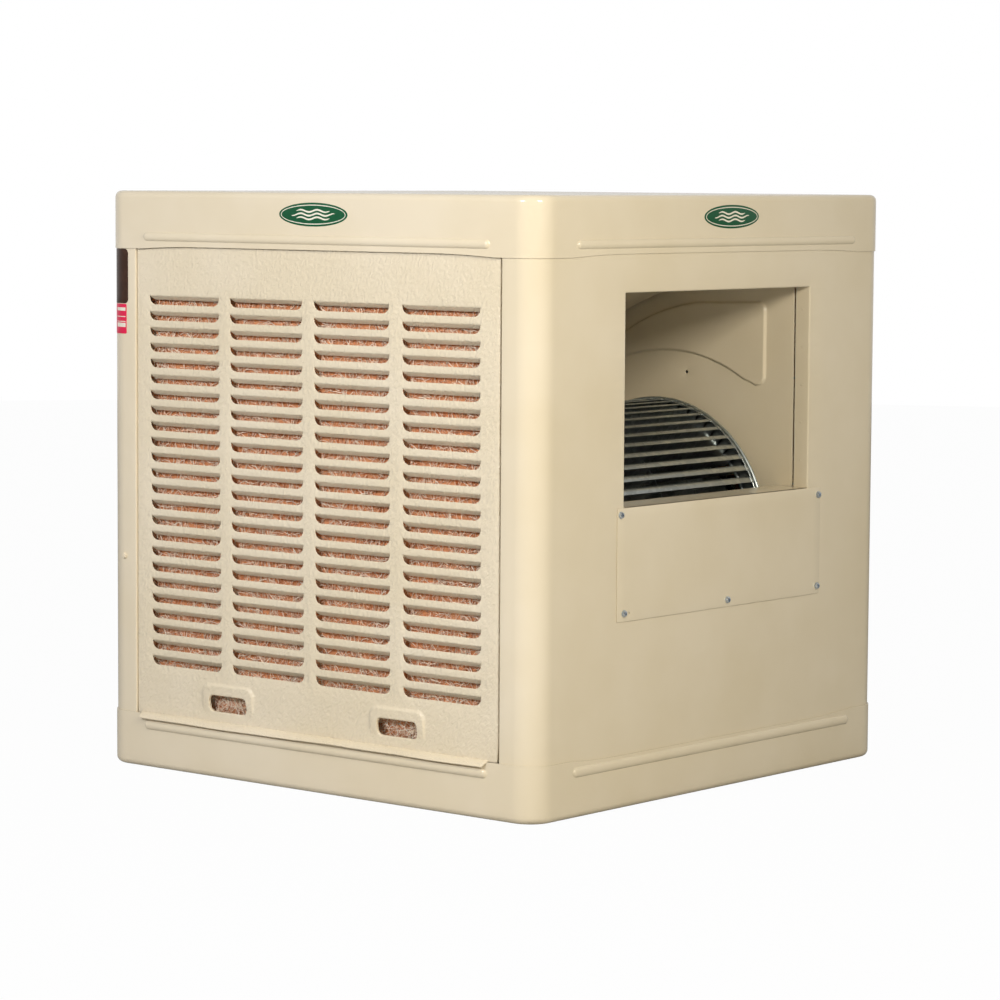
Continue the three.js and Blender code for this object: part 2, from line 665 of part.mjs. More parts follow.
function pump() {
  const { x, y } = PUMP;
  const cup = turnedAlongZ([[0, 2], [60, 2], [60, 74], [58, 74], [58, 4], [0, 4]], x, y);
  const volute = turnedAlongZ([[0, 12], [42, 12], [42, 50], [0, 50]], x, y);
  const feet = ALL_SIDES.map((turn) => boxBetween([34, -5, 4.3], [41, 5, 13]).rotateZ(turn).translate(x, y, 0));
  const outlet = turnedAlongZ([[0, 30], [9, 30], [9, 62], [0, 62]], x + 49, y, 12);
  const chamber = turnedAlongZ([[0, 11], [30, 11], [30, 36], [0, 36]], x, y);
  const shaftHole = turnedAlongZ([[0, 30], [5, 30], [5, 60], [0, 60]], x, y, 12);
  const passage = turnedAlongZ([[0, 34], [6, 34], [6, 63], [0, 63]], x + 49, y, 12);
  const housing = cut(join(volute, ...feet, outlet), chamber, shaftHole, passage);
  const shell = [[0, 75], [5, 75], [5, 50.3], [38, 50.3], [38, 118], [30, 128], [0, 128]];
  const motorBody = turnedAlongZ(shell, x, y);
  const shaft = turnedAlongZ([[0, 20], [3, 20], [3, 70], [0, 70]], x, y, 10);
  const disc = turnedAlongZ([[0, 28], [26, 28], [26, 31], [0, 31]], x, y);
  const vanes = [0, 1].map((i) =>
    boxBetween([-25, -1.5, 16], [25, 1.5, 28.5]).rotateZ((i * Math.PI) / 2).translate(x, y, 0),
  );
  return groupOf(
    piece("pump_screen", cup, WHITE_PLASTIC),
    piece("pump_housing", housing, GREY_PLASTIC),
    piece("pump_motor", motorBody, GREY_PLASTIC),
    piece("pump_impeller", join(disc, shaft, ...vanes), WHITE_PLASTIC),
  );
}

/** The distributor under the lid, the hose that feeds it and its three spouts over the troughs. */
function distribution() {
  const { x, y, z } = DISTRIBUTOR;
  const head = [[0, z - 15], [40, z - 15], [45, z - 8], [45, z + 12], [40, z + 15], [8, z + 15]];
  const lid = CABINET_HEIGHT - SHEET - GAP;
  const body = turnedAlongZ([...head, [8, lid], [0, lid]], x, y);
  const riser = tubeAlong(
    [
      [PUMP.x + 49, PUMP.y, 62 + GAP],
      [PUMP.x + 49, PUMP.y, 110],
      [PUMP.x + 49, PUMP.y, 700],
      [PUMP.x + 55, PUMP.y + 12, 785],
      [PUMP.x + 85, PUMP.y + 80, z],
      [x - 80, y - 80, z],
      [x - 32.2, y - 32.2, z],
    ],
    9,
    28,
  );
  const reach = PANEL.face - TROUGH.front - TROUGH.width / 2;
  const spout = (name, dx, dy) => {
    const length = dx ? reach + x : reach;
    const at = (d, h) => [x + dx * d, y + dy * d, h];
    const points = [at(45.5, z), at(80, z), at(length - 40, z), at(length - 8, z - 3), at(length, z - 14)];
    return piece(name, tubeAlong(points, 6, 22), WHITE_PLASTIC);
  };
  return groupOf(
    piece("distributor", body, WHITE_PLASTIC),
    piece("riser_hose", riser, GREY_PLASTIC),
    spout("spout_left", 0, -1),
    spout("spout_right", 0, 1),
    spout("spout_rear", -1, 0),
  );
}

/** The float valve through the base pan's wall, and its lever and ball. */
function floatValve() {
  const { x, pivotY, pivotZ, inletZ, armLength, radius } = FLOAT;
  const inside = HALF - SHEET - GAP;
  const stem = [
    [0, pivotY + 2],
    [7, pivotY + 2],
    [7, inside - 12],
    [13, inside - 12],
    [13, inside],
    [8, inside],
    [8, HALF + 14],
    [0, HALF + 14],
  ];
  const tower = boxBetween([x - 6, pivotY + 4, inletZ], [x + 6, pivotY + 14, pivotZ + 7]);
  const ears = [-6, 2.4].map((dx) =>
    boxBetween([x + dx, pivotY - 5, pivotZ - 5], [x + dx + 3.6, pivotY + 5, pivotZ + 6]),
  );
  const pin = new THREE.CylinderGeometry(1.2, 1.2, 8, 10).rotateZ(Math.PI / 2).translate(x, pivotY, pivotZ);
  const body = join(turnedAlongY(stem, x, inletZ, 16), tower, ...ears, pin);
  const rod = (r, low, high, n) => turnedAlongY([[0, low], [r, low], [r, high], [0, high]], x, inletZ, n);
  const nut = cut(toSolid(rod(13, HALF + GAP, HALF + 7, 6)), rod(8.4, HALF - 5, HALF + 20, 20));
  const bar = boxBetween([x - 2, pivotY - armLength + radius - 4, pivotZ - 2.5], [x + 2, pivotY + 3, pivotZ + 2.5]);
  const eye = new THREE.CylinderGeometry(1.5, 1.5, 8, 12).rotateZ(Math.PI / 2).translate(x, pivotY, pivotZ);
  const ball = new THREE.SphereGeometry(radius, 20, 12).translate(x, pivotY - armLength, pivotZ);
  const socket = boxBetween(
    [x - 2 - GAP, pivotY - armLength + radius - 4 - GAP, pivotZ - 2.5 - GAP],
    [x + 2 + GAP, pivotY, pivotZ + 2.5 + GAP],
  );
  return groupOf(
    piece("float_valve", body, BRASS),
    piece("inlet_nut", nut, BRASS),
    piece("float_lever", cut(toSolid(bar), eye), BRASS),
    piece("float_ball", cut(toSolid(ball), socket), FLOAT_PLASTIC),
  );
}

/** The drain fitting in its boss, its nut, and the overflow pipe that lifts out of it. */
function drain() {
  const { x, y, bossHeight: h } = DRAIN;
  const fitting = [[9, 4], [11.7, 4], [11.7, h + GAP], [22, h + GAP], [22, h + 4], [9, h + 4], [9, 4]];
  const bar = (r, low, high, n) => turnedAlongZ([[0, low], [r, low], [r, high], [0, high]], x, y, n);
  const nut = cut(toSolid(bar(21, 8, h - SHEET - GAP, 6)), bar(12.2, 0, 40, 20));
  const rim = h + 4 + GAP;
  const pipe = [[7, 8], [8.6, 8], [8.6, rim], [12, rim], [12, 62], [15, 68], [13.5, 68], [10, 62], [7, 30], [7, 8]];
  return groupOf(
    piece("drain_fitting", turnedAlongZ(fitting, x, y, 20), BRASS),
    piece("drain_nut", nut, BRASS),
    piece("overflow_pipe", turnedAlongZ(pipe, x, y, 20), WHITE_PLASTIC),
  );
}

// ---- the whole cooler -------------------------------------------------------------------------

const cooler = groupOf(
  basePan(),
  topPan(),
  dischargePanel(),
  rearPost("rear_post_left", -1),
  rearPost("rear_post_right", 1),
  coverPlate(),
  postScrews(),
  padPanels(),
  blower(),
  motor(),
  motorMount(),
  driveBelt(),
  junctionBox(),
  pump(),
  distribution(),
  floatValve(),
  drain(),
);

export default cooler;
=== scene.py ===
"""Looks for a side-discharge evaporative cooler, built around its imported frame.

Every class below holds its sizes in millimetres, in the frame's own axes: +Z is up, +X is the way
the air is blown out, and Y lies along the blower's shaft. Meshes are turned into metres at the end.
"""

import json
import logging
import math
from collections.abc import Callable, Sequence
from dataclasses import dataclass, field
from enum import Enum
from typing import ClassVar

import bmesh
import bpy
import numpy as np
from mathutils import Matrix, Vector
from mathutils.geometry import delaunay_2d_cdt


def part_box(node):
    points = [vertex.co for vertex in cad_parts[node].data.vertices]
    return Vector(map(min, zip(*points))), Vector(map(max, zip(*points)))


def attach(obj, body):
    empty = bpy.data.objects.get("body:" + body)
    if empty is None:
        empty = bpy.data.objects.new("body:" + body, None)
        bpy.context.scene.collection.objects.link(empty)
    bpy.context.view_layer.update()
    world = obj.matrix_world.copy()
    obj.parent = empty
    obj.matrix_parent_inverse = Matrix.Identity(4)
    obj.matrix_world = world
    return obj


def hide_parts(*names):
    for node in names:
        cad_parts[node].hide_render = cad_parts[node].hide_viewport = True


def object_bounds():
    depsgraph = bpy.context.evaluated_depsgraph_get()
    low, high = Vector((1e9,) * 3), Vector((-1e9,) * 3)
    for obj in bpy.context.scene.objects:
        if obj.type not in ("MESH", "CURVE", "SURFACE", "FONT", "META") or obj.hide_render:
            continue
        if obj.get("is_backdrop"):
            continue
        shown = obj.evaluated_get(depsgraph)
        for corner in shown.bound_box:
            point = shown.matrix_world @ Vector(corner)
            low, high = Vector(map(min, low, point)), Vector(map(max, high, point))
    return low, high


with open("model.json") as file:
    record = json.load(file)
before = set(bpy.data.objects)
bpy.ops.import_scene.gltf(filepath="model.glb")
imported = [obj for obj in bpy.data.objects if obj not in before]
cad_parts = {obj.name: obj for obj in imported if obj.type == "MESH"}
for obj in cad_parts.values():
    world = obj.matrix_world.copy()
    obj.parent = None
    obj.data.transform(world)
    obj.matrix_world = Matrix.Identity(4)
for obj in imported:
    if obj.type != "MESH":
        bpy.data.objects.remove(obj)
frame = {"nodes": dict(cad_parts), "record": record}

Array = np.ndarray
Placing = Callable[[Array], Array]
Lift = Callable[[Array, Array | float], Array]

MM = 0.001
CAD_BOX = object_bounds()
LOG = logging.getLogger("cooler")
WELD = 0.002  # points closer than this, in mm, are one point
BEAD_REACH = 4.0  # how far the beads take a pan's CAD box past its walls, in mm


# ---- numbers and outlines ----------------------------------------------------------------------


def node_box(node: str) -> tuple[Array, Array]:
    """The lowest and highest corners of a CAD node at rest, in millimetres."""
    low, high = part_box(node)
    return np.array(low) / MM, np.array(high) / MM


def smooth(value: Array | float) -> Array:
    """Eases a value from 0 to 1 with level ends, and holds it outside that range."""
    t = np.clip(value, 0.0, 1.0)
    return t * t * (3.0 - 2.0 * t)


def arc(centre: Sequence[float], radii: Sequence[float], start: float, stop: float, steps: int) -> Array:
    """Points on an arc of an ellipse.

    Args:
        centre: The ellipse's centre.
        radii: Its two half-axes.
        start: The first point's angle, in degrees.
        stop: The last point's angle, in degrees.
        steps: How many straight steps the arc is drawn in.

    Returns:
        The points, both ends included.
    """
    angle = np.radians(np.linspace(start, stop, steps + 1))
    return np.stack([centre[0] + radii[0] * np.cos(angle), centre[1] + radii[1] * np.sin(angle)], axis=1)


def between(a: Sequence[float], b: Sequence[float], step: float) -> Array:
    """Points along a straight line.

    Args:
        a: The first point.
        b: Where the line ends, which is not one of the points.
        step: About how far apart they are.

    Returns:
        The points.
    """
    count = max(1, round(math.dist(a, b) / step))
    share = np.arange(count)[:, None] / count
    return np.array(a) * (1 - share) + np.array(b) * share


def rounded_rectangle(low: Sequence[float], high: Sequence[float], radius: float, step: float) -> Array:
    """A closed outline with four round corners, anticlockwise.

    Args:
        low: The rectangle's lowest corner.
        high: Its highest corner.
        radius: The corners' radius.
        step: The spacing of points along the straight sides.

    Returns:
        The outline's points.
    """
    (x0, y0), (x1, y1) = low, high
    r = radius
    corners = [(x1 - r, y0 + r, -90), (x1 - r, y1 - r, 0), (x0 + r, y1 - r, 90), (x0 + r, y0 + r, 180)]
    arcs = [arc((x, y), (r, r), turn, turn + 90, 6) for x, y, turn in corners]
    parts = []
    for here, after in zip(arcs, arcs[1:] + arcs[:1]):
        parts += [here[:-1], between(here[-1], after[0], step)]
    return np.concatenate(parts)


def resampled(loop: Array, step: float) -> Array:
    """The same closed outline with its points evenly spaced.

    Args:
        loop: The outline.
        step: About how far apart its points are to be.

    Returns:
        The new outline.
    """
    closed = np.vstack([loop, loop[:1]])
    run = np.concatenate([[0], np.cumsum(np.linalg.norm(np.diff(closed, axis=0), axis=1))])
    at = np.linspace(0, run[-1], max(8, round(run[-1] / step)), endpoint=False)
    return np.stack([np.interp(at, run, closed[:, 0]), np.interp(at, run, closed[:, 1])], axis=1)


def outward(loop: Array) -> Array:
    """Unit normals of a closed anticlockwise outline, pointing out of it."""
    along = np.roll(loop, -1, axis=0) - np.roll(loop, 1, axis=0)
    along /= np.linalg.norm(along, axis=1, keepdims=True)
    return np.stack([along[:, 1], -along[:, 0]], axis=1)


def beside(path: Array) -> Array:
    """Unit normals of an open path, to the left of the way it runs."""
    along = np.gradient(path, axis=0)
    along /= np.linalg.norm(along, axis=1, keepdims=True)
    return np.stack([-along[:, 1], along[:, 0]], axis=1)


def lattice(firsts: Array, seconds: Array) -> Array:
    """Every pairing of two rows of numbers, as points of a plane."""
    return np.stack(np.meshgrid(firsts, seconds), axis=-1).reshape(-1, 2)


def at_height(plan: Array, z: Array | float) -> Array:
    """Points of the plan, stood at a height."""
    return np.column_stack([plan, np.full(len(plan), z)])


def at_y(points: Array, y: Array | float) -> Array:
    """Points given as x and z, stood at a place along Y."""
    return np.column_stack([points[:, 0], np.full(len(points), y), points[:, 1]])


def inside(points: Array, loop: Array) -> Array:
    """Finds the points that lie inside a closed outline.

    Args:
        points: The points.
        loop: The outline.

    Returns:
        Whether each point is inside.
    """
    found = np.zeros(len(points), dtype=bool)
    near = np.all((points > loop.min(axis=0)) & (points < loop.max(axis=0)), axis=1)
    x, y = points[near, 0], points[near, 1]
    crossings = np.zeros(len(x), dtype=bool)
    for (x0, y0), (x1, y1) in zip(loop, np.roll(loop, -1, axis=0)):
        if y0 != y1:
            spans = (y0 > y) != (y1 > y)
            crossings ^= spans & (x < (x1 - x0) * (y - y0) / (y1 - y0) + x0)
    found[near] = crossings
    return found


def distance_in(points: Array, loop: Array) -> Array:
    """Measures how far points lie from a closed outline.

    Args:
        points: The points.
        loop: The outline.

    Returns:
        Each point's distance, above zero inside the outline and below zero outside it.
    """
    best = np.full(len(points), np.inf)
    for a, b in zip(loop, np.roll(loop, -1, axis=0)):
        along = b - a
        share = np.clip((points - a) @ along / max(along @ along, 1e-9), 0, 1)
        best = np.minimum(best, np.linalg.norm(points - a - share[:, None] * along, axis=1))
    return np.where(inside(points, loop), best, -best)


# ---- meshes ------------------------------------------------------------------------------------


class Surface:
    """Points and faces in millimetres, gathered into one mesh."""

    def __init__(self) -> None:
        """Starts with no points and no faces."""
        self.points: list[Array] = []
        self.faces: list[Array] = []
        self.total = 0

    def add(self, points: Array, faces: Array) -> None:
        """Adds some faces.

        Args:
            points: Their corners.
            faces: The faces, as numbers that count from the first of those corners.
        """
        points = np.asarray(points, dtype=float).reshape(-1, 3)
        self.points.append(points)
        self.faces.append(np.asarray(faces, dtype=int) + self.total)
        self.total += len(points)

    def grid(self, rows: Array | Sequence[Array], around: bool = False, flip: bool = False) -> None:
        """Adds a skin of quads over rows of points.

        Args:
            rows: The points, as rows x columns x 3.
            around: Whether each row closes on itself.
            flip: Whether the faces look the other way.
        """
        rows = np.stack(rows)
        index = np.arange(rows.shape[0] * rows.shape[1]).reshape(rows.shape[:2])
        after = np.roll(index, -1, axis=1) if around else index[:, 1:]
        here = index if around else index[:, :-1]
        quads = np.stack([here[:-1], after[:-1], after[1:], here[1:]], axis=-1).reshape(-1, 4)
        self.add(rows, quads[:, ::-1] if flip else quads)

    def cap(self, ring: Array, flip: bool = False) -> None:
        """Closes a ring of points with a fan of triangles round its middle.

        Args:
            ring: The points.
            flip: Whether the faces look the other way.
        """
        count = len(ring)
        here = np.arange(count)
        fan = np.stack([here, np.roll(here, -1), np.full(count, count)], axis=1)
        self.add(np.vstack([ring, ring.mean(axis=0)]), fan[:, ::-1] if flip else fan)

    def tube(self, rows: Array | Sequence[Array]) -> None:
        """Adds a skin round rings of points, with both ends capped."""
        self.grid(rows, around=True)
        self.cap(rows[0], flip=True)
        self.cap(rows[-1])

    def turned(self, profile: Array, axis: "Axis", segments: int) -> None:
        """Adds a surface of revolution.

        Args:
            profile: Points as radius and height along the axis.
            axis: The axis to turn about.
            segments: How many flats the turn is drawn in.
        """
        angle = np.radians(360.0) * np.arange(segments) / segments
        radius, height = profile[:, 0][:, None], profile[:, 1][:, None] + 0 * angle
        self.grid(axis.place(radius * np.cos(angle), radius * np.sin(angle), height), around=True)

    def merge(self, other: "Surface", place: Placing | None = None) -> None:
        """Adds another surface.

        Args:
            other: The other surface.
            place: Moves its points into place; with none they stay where they are.
        """
        for points in other.points:
            self.points.append(place(points) if place else points)
        self.faces += [faces + self.total for faces in other.faces]
        self.total += other.total

    def moved(self, place: Placing) -> "Surface":
        """A copy of the surface, moved into place."""
        copy = Surface()
        copy.merge(self, place)
        return copy

    def mesh(self, name: str, crease: float | None) -> bpy.types.Mesh:
        """Makes the Blender mesh, in metres and smooth.

        Args:
            name: The mesh's name.
            crease: Edges that bend by more than this many degrees stay sharp. With None the mesh
                is left as it was gathered, with nothing welded.

        Returns:
            The mesh.
        """
        points = np.concatenate(self.points) * MM
        sides = np.concatenate([np.full(len(f), f.shape[1]) for f in self.faces])
        corners = np.concatenate([f.ravel() for f in self.faces])
        mesh = bpy.data.meshes.new(name)
        mesh.vertices.add(len(points))
        mesh.vertices.foreach_set("co", points.ravel())
        mesh.loops.add(len(corners))
        mesh.loops.foreach_set("vertex_index", corners)
        mesh.polygons.add(len(sides))
        mesh.polygons.foreach_set("loop_start", np.cumsum(sides) - sides)
        mesh.update(calc_edges=True)
        if crease is not None:
            work = bmesh.new()
            work.from_mesh(mesh)
            bmesh.ops.remove_doubles(work, verts=work.verts, dist=WELD * MM)
            bmesh.ops.dissolve_degenerate(work, edges=work.edges, dist=WELD * MM)
            bmesh.ops.recalc_face_normals(work, faces=work.faces)
            work.to_mesh(mesh)
            work.free()
            mesh.validate()
        mesh.shade_smooth()
        if crease is not None:
            mesh.set_sharp_from_angle(angle=math.radians(crease))
        return mesh


@dataclass(frozen=True)
class Axis:
    """A line to turn profiles about."""

    origin: tuple[float, float, float]
    along: str  # "x", "y" or "z"

    def place(self, first: Array, second: Array, height: Array) -> Array:
        """Puts plane coordinates and a height along the axis into x, y and z."""
        order = {"x": (height, first, second), "y": (second, height, first), "z": (first, second, height)}
        return np.stack(order[self.along], axis=-1) + np.array(self.origin)


X_AXIS = Axis((0, 0, 0), "x")
Y_AXIS = Axis((0, 0, 0), "y")


@dataclass
class Plate:
    """A flat sheet cut into triangles, and where its edges' points lie in it."""

    points: Array
    triangles: Array
    loops: list[Array]


def cut_plate(outline: Array, holes: Sequence[Array], within: Array) -> Plate:
    """Cuts a flat sheet with holes into triangles.

    Args:
        outline: The sheet's edge, anticlockwise.
        holes: The holes' edges, anticlockwise.
        within: Further points that the triangles pass through.

    Returns:
        The sheet.
    """

    def solid(points: Array) -> Array:
        """Which points are in the sheet and in none of its holes."""
        cut = np.any([inside(points, hole) for hole in holes] or [[False]], axis=0)
        return inside(points, outline) & ~cut

    loops = [outline, *holes]
    coords = np.concatenate([*loops, within[solid(within)]])
    edges, starts = [], np.cumsum([0] + [len(loop) for loop in loops])
    for start, loop in zip(starts, loops):
        edges += [(start + i, start + (i + 1) % len(loop)) for i in range(len(loop))]
    found, _, faces, origins, _, _ = delaunay_2d_cdt([Vector(p) for p in coords], edges, [], 0, 1e-5)
    points = np.array([tuple(p) for p in found])
    triangles = np.array([face for face in faces if len(face) == 3])
    a, b, c = (points[triangles[:, i]] for i in range(3))
    turn = (b[:, 0] - a[:, 0]) * (c[:, 1] - a[:, 1]) - (b[:, 1] - a[:, 1]) * (c[:, 0] - a[:, 0])
    triangles[turn < 0] = triangles[turn < 0][:, ::-1]
    where = np.zeros(len(coords), dtype=int)
    for new, olds in enumerate(origins):
        where[list(olds)] = new
    indices = [where[start : start + len(loop)] for start, loop in zip(starts, loops)]
    return Plate(points, triangles[solid((a + b + c) / 3)], indices)


def rolled(lift: Lift, contour: Array, normal: Array, radius: Array | float, steps: int) -> list[Array]:
    """Rows of points that turn a sheet's edge through a right angle.

    Args:
        lift: Puts flat points at a depth behind the face into space.
        contour: Where the bend begins.
        normal: The way out of the sheet, at each of its points.
        radius: The bend's radius, which can be different at each point.
        steps: How many flats it is drawn in.

    Returns:
        The rows.
    """
    turn = np.radians(np.linspace(0, 90, steps + 1))
    reach = normal * np.reshape(radius, (-1, 1))
    return [lift(contour + reach * math.sin(t), radius * (1 - math.cos(t))) for t in turn]


def add_sheet(surface: Surface, plate: Plate, lift: Lift, thickness: float, edge: float) -> None:
    """Adds a sheet of metal with its edges rolled over.

    Args:
        surface: What it is added to.
        plate: The sheet, flat.
        lift: Puts flat points at a depth behind the face into space.
        thickness: The sheet's thickness.
        edge: The radius of its edges.
    """
    surface.add(lift(plate.points, 0.0), plate.triangles)
    back = plate.points.copy()
    for number, loop in enumerate(plate.loops):
        contour = plate.points[loop]
        normal = outward(contour) * (1 if number == 0 else -1)
        back[loop] = contour + normal * edge
        rows = rolled(lift, contour, normal, edge, 3)
        surface.grid([*rows, lift(back[loop], thickness)], around=True)
    surface.add(lift(back, thickness), plate.triangles[:, ::-1])


# ---- finishes ----------------------------------------------------------------------------------


def linear(colour: str) -> tuple[float, float, float, float]:
    """Turns an sRGB hex colour such as #E3D6BE into linear red, green, blue and alpha."""
    parts = [int(colour[i : i + 2], 16) / 255 for i in (1, 3, 5)]
    straight = [c / 12.92 if c <= 0.04045 else ((c + 0.055) / 1.055) ** 2.4 for c in parts]
    return (*straight, 1.0)


def add(
    tree: bpy.types.NodeTree, kind: str, sockets: dict[str, object], **settings: object
) -> bpy.types.Node:
    """Adds one node, sets it up and links it.

    Args:
        tree: The material's node tree.
        kind: The node's type, without its ShaderNode prefix.
        sockets: For each input by name, a value, another node, or one of another node's outputs.
        **settings: The node's own properties.

    Returns:
        The node.
    """
    node = tree.nodes.new("ShaderNode" + kind)
    for name, value in settings.items():
        setattr(node, name, value)
    for name, value in sockets.items():
        socket = next(found for found in node.inputs if found.name == name and found.enabled)
        if isinstance(value, bpy.types.Node):
            value = next(found for found in value.outputs if found.enabled)
        if isinstance(value, bpy.types.NodeSocket):
            tree.links.new(value, socket)
        else:
            socket.default_value = value
    return node


@dataclass(frozen=True)
class Patches:
    """Soft patches on a surface, of a given width in millimetres, from fractal noise."""

    across: float
    detail: float = 3.0
    span: tuple[float, float] = (0.3, 0.7)  # the noise's values that give the two ends

    def value(
        self, tree: bpy.types.NodeTree, place: bpy.types.NodeSocket, start: float = 0.0, stop: float = 1.0
    ) -> bpy.types.Node:
        """A value that goes from one number to another between the patches.

        Args:
            tree: The material's node tree.
            place: The point's place on the piece, in metres.
            start: The value between the patches.
            stop: The value inside them.

        Returns:
            The node that gives it.
        """
        noise = add(tree, "TexNoise", {"Vector": place, "Scale": 1000 / self.across, "Detail": self.detail})
        low, high = self.span
        ends = {"From Min": low, "From Max": high, "To Min": start, "To Max": stop}
        return add(tree, "MapRange", {"Value": noise, **ends})

    def colour(
        self,
        tree: bpy.types.NodeTree,
        place: bpy.types.NodeSocket,
        ground: str,
        spot: str,
        most: float = 1.0,
    ) -> bpy.types.Node:
        """One colour with patches of another.

        Args:
            tree: The material's node tree.
            place: The point's place on the piece, in metres.
            ground: The first colour.
            spot: The patches' colour.
            most: How strong that is at most.

        Returns:
            The node that gives the colour.
        """
        share = self.value(tree, place, stop=most)
        sockets = {"Factor": share, "A": linear(ground), "B": linear(spot)}
        return add(tree, "Mix", sockets, data_type="RGBA")

    def bumps(
        self, tree: bpy.types.NodeTree, place: bpy.types.NodeSocket, depth: float
    ) -> bpy.types.Node:
        """A normal that rises and falls with the patches.

        Args:
            tree: The material's node tree.
            place: The point's place on the piece, in metres.
            depth: How deep the bumps are, in millimetres.

        Returns:
            The node that gives the normal.
        """
        noise = add(tree, "TexNoise", {"Vector": place, "Scale": 1000 / self.across, "Detail": self.detail})
        return add(tree, "Bump", {"Height": noise, "Distance": depth * MM})


class Finish:
    """A finish that builds one material the first time that it is asked for."""

    name: str
    made: ClassVar[dict[str, bpy.types.Material]] = {}

    def material(self) -> bpy.types.Material:
        """The material, built once."""
        if self.name not in Finish.made:
            made = bpy.data.materials.new(self.name)
            made.use_nodes = True
            made.node_tree.nodes.clear()
            shader = self.shade(made.node_tree, add(made.node_tree, "TexCoord", {}).outputs["Object"])
            add(made.node_tree, "OutputMaterial", {"Surface": shader})
            Finish.made[self.name] = made
        return Finish.made[self.name]

    def shade(self, tree: bpy.types.NodeTree, place: bpy.types.NodeSocket) -> bpy.types.Node:
        """Builds the shader, in each finish's own way.

        Args:
            tree: The material's node tree.
            place: The point's place on the piece, in metres.

        Returns:
            The shader node.
        """
        raise NotImplementedError


class Grain(Enum):
    """How a painted sheet's surface lies under its paint."""

    SMOOTH = "smooth"
    EMBOSSED = "embossed"


@dataclass(frozen=True)
class EnamelPaint(Finish):
    """Baked polyester enamel on sheet steel: a warm, even cream with a gloss that ripples a little."""

    name: str
    grain: Grain
    colour: str = "#E7DABF"
    deeper: str = "#E2D4B6"
    roughness: float = 0.14
    embossed_roughness: float = 0.33
    smeared: float = 0.08  # how much duller it is where hands have smeared it

    def shade(self, tree: bpy.types.NodeTree, place: bpy.types.NodeSocket) -> bpy.types.Node:
        """Paint with faint clouds of tone, orange peel 7 mm across and, where embossed, leather grain.

        Args:
            tree: The material's node tree.
            place: The point's place on the piece, in metres.

        Returns:
            The shader node.
        """
        colour = Patches(180, span=(0.35, 0.65)).colour(tree, place, self.colour, self.deeper)
        gloss = self.embossed_roughness if self.grain is Grain.EMBOSSED else self.roughness
        rough = Patches(45, detail=4.0).value(tree, place, gloss, gloss + self.smeared)
        normal = Patches(7, detail=1.0).bumps(tree, place, 0.03)
        if self.grain is Grain.EMBOSSED:
            # Leather grain rolled into the steel: wrinkles 3 mm wide and 6 mm long that all lean one way.
            lean = {"Vector": place, "Rotation": (0.0, math.radians(32), 0.0), "Scale": (1.0, 1.0, 1.8)}
            leaning = add(tree, "Mapping", lean, vector_type="TEXTURE")
            curly = {"Detail": 1.0, "Roughness": 0.4, "Distortion": 0.3}
            wrinkles = add(tree, "TexNoise", {"Vector": leaning, "Scale": 1000 / 3.3, **curly})
            crisp = add(tree, "MapRange", {"Value": wrinkles, "From Min": 0.34, "From Max": 0.66})
            normal = add(tree, "Bump", {"Height": crisp, "Distance": 0.5 * MM, "Normal": normal})
        sockets = {"Base Color": colour, "Roughness": rough, "Normal": normal, "IOR": 1.5}
        return add(tree, "BsdfPrincipled", sockets)


@dataclass(frozen=True)
class GalvanisedSteel(Finish):
    """Hot-dipped steel sheet: pale blue-grey zinc whose crystals, 9 mm across, differ in tone and shine."""

    name: str
    light: str = "#C6CCCA"
    dark: str = "#B0B6B5"
    metallic: float = 0.92  # a little under 1 for the dull bloom on it

    def shade(self, tree: bpy.types.NodeTree, place: bpy.types.NodeSocket) -> bpy.types.Node:
        """Zinc with spangles and faint rolling marks.

        Args:
            tree: The material's node tree.
            place: The point's place on the piece, in metres.

        Returns:
            The shader node.
        """
        crystals = add(tree, "TexVoronoi", {"Vector": place, "Scale": 1000 / 9})
        tone = add(tree, "SeparateColor", {"Color": crystals.outputs["Color"]})
        tones = {"Factor": tone, "A": linear(self.light), "B": linear(self.dark)}
        spangle = add(tree, "Mix", tones, data_type="RGBA")
        rough = add(tree, "MapRange", {"Value": tone, "To Min": 0.3, "To Max": 0.48})
        normal = Patches(2).bumps(tree, place, 0.03)
        sockets = {"Base Color": spangle, "Metallic": self.metallic, "Roughness": rough, "Normal": normal}
        return add(tree, "BsdfPrincipled", sockets)


@dataclass(frozen=True)
class PlainMetal(Finish):
    """A turned, plated or cast metal: a clean shine broken by fine scratches and a little tarnish."""

    name: str
    colour: str
    tarnish: str
    roughness: float
    worn: float = 0.15  # how much rougher it is where it is worn

    def shade(self, tree: bpy.types.NodeTree, place: bpy.types.NodeSocket) -> bpy.types.Node:
        """Metal with tarnish in clouds, a roughness that varies and scratches 1 mm apart.

        Args:
            tree: The material's node tree.
            place: The point's place on the piece, in metres.

        Returns:
            The shader node.
        """
        colour = Patches(8, detail=4.0, span=(0.4, 0.7)).colour(tree, place, self.colour, self.tarnish)
        rough = Patches(3).value(tree, place, self.roughness, self.roughness + self.worn)
        normal = Patches(1, detail=2.0).bumps(tree, place, 0.01)
        sockets = {"Base Color": colour, "Metallic": 1.0, "Roughness": rough, "Normal": normal}
        return add(tree, "BsdfPrincipled", sockets)


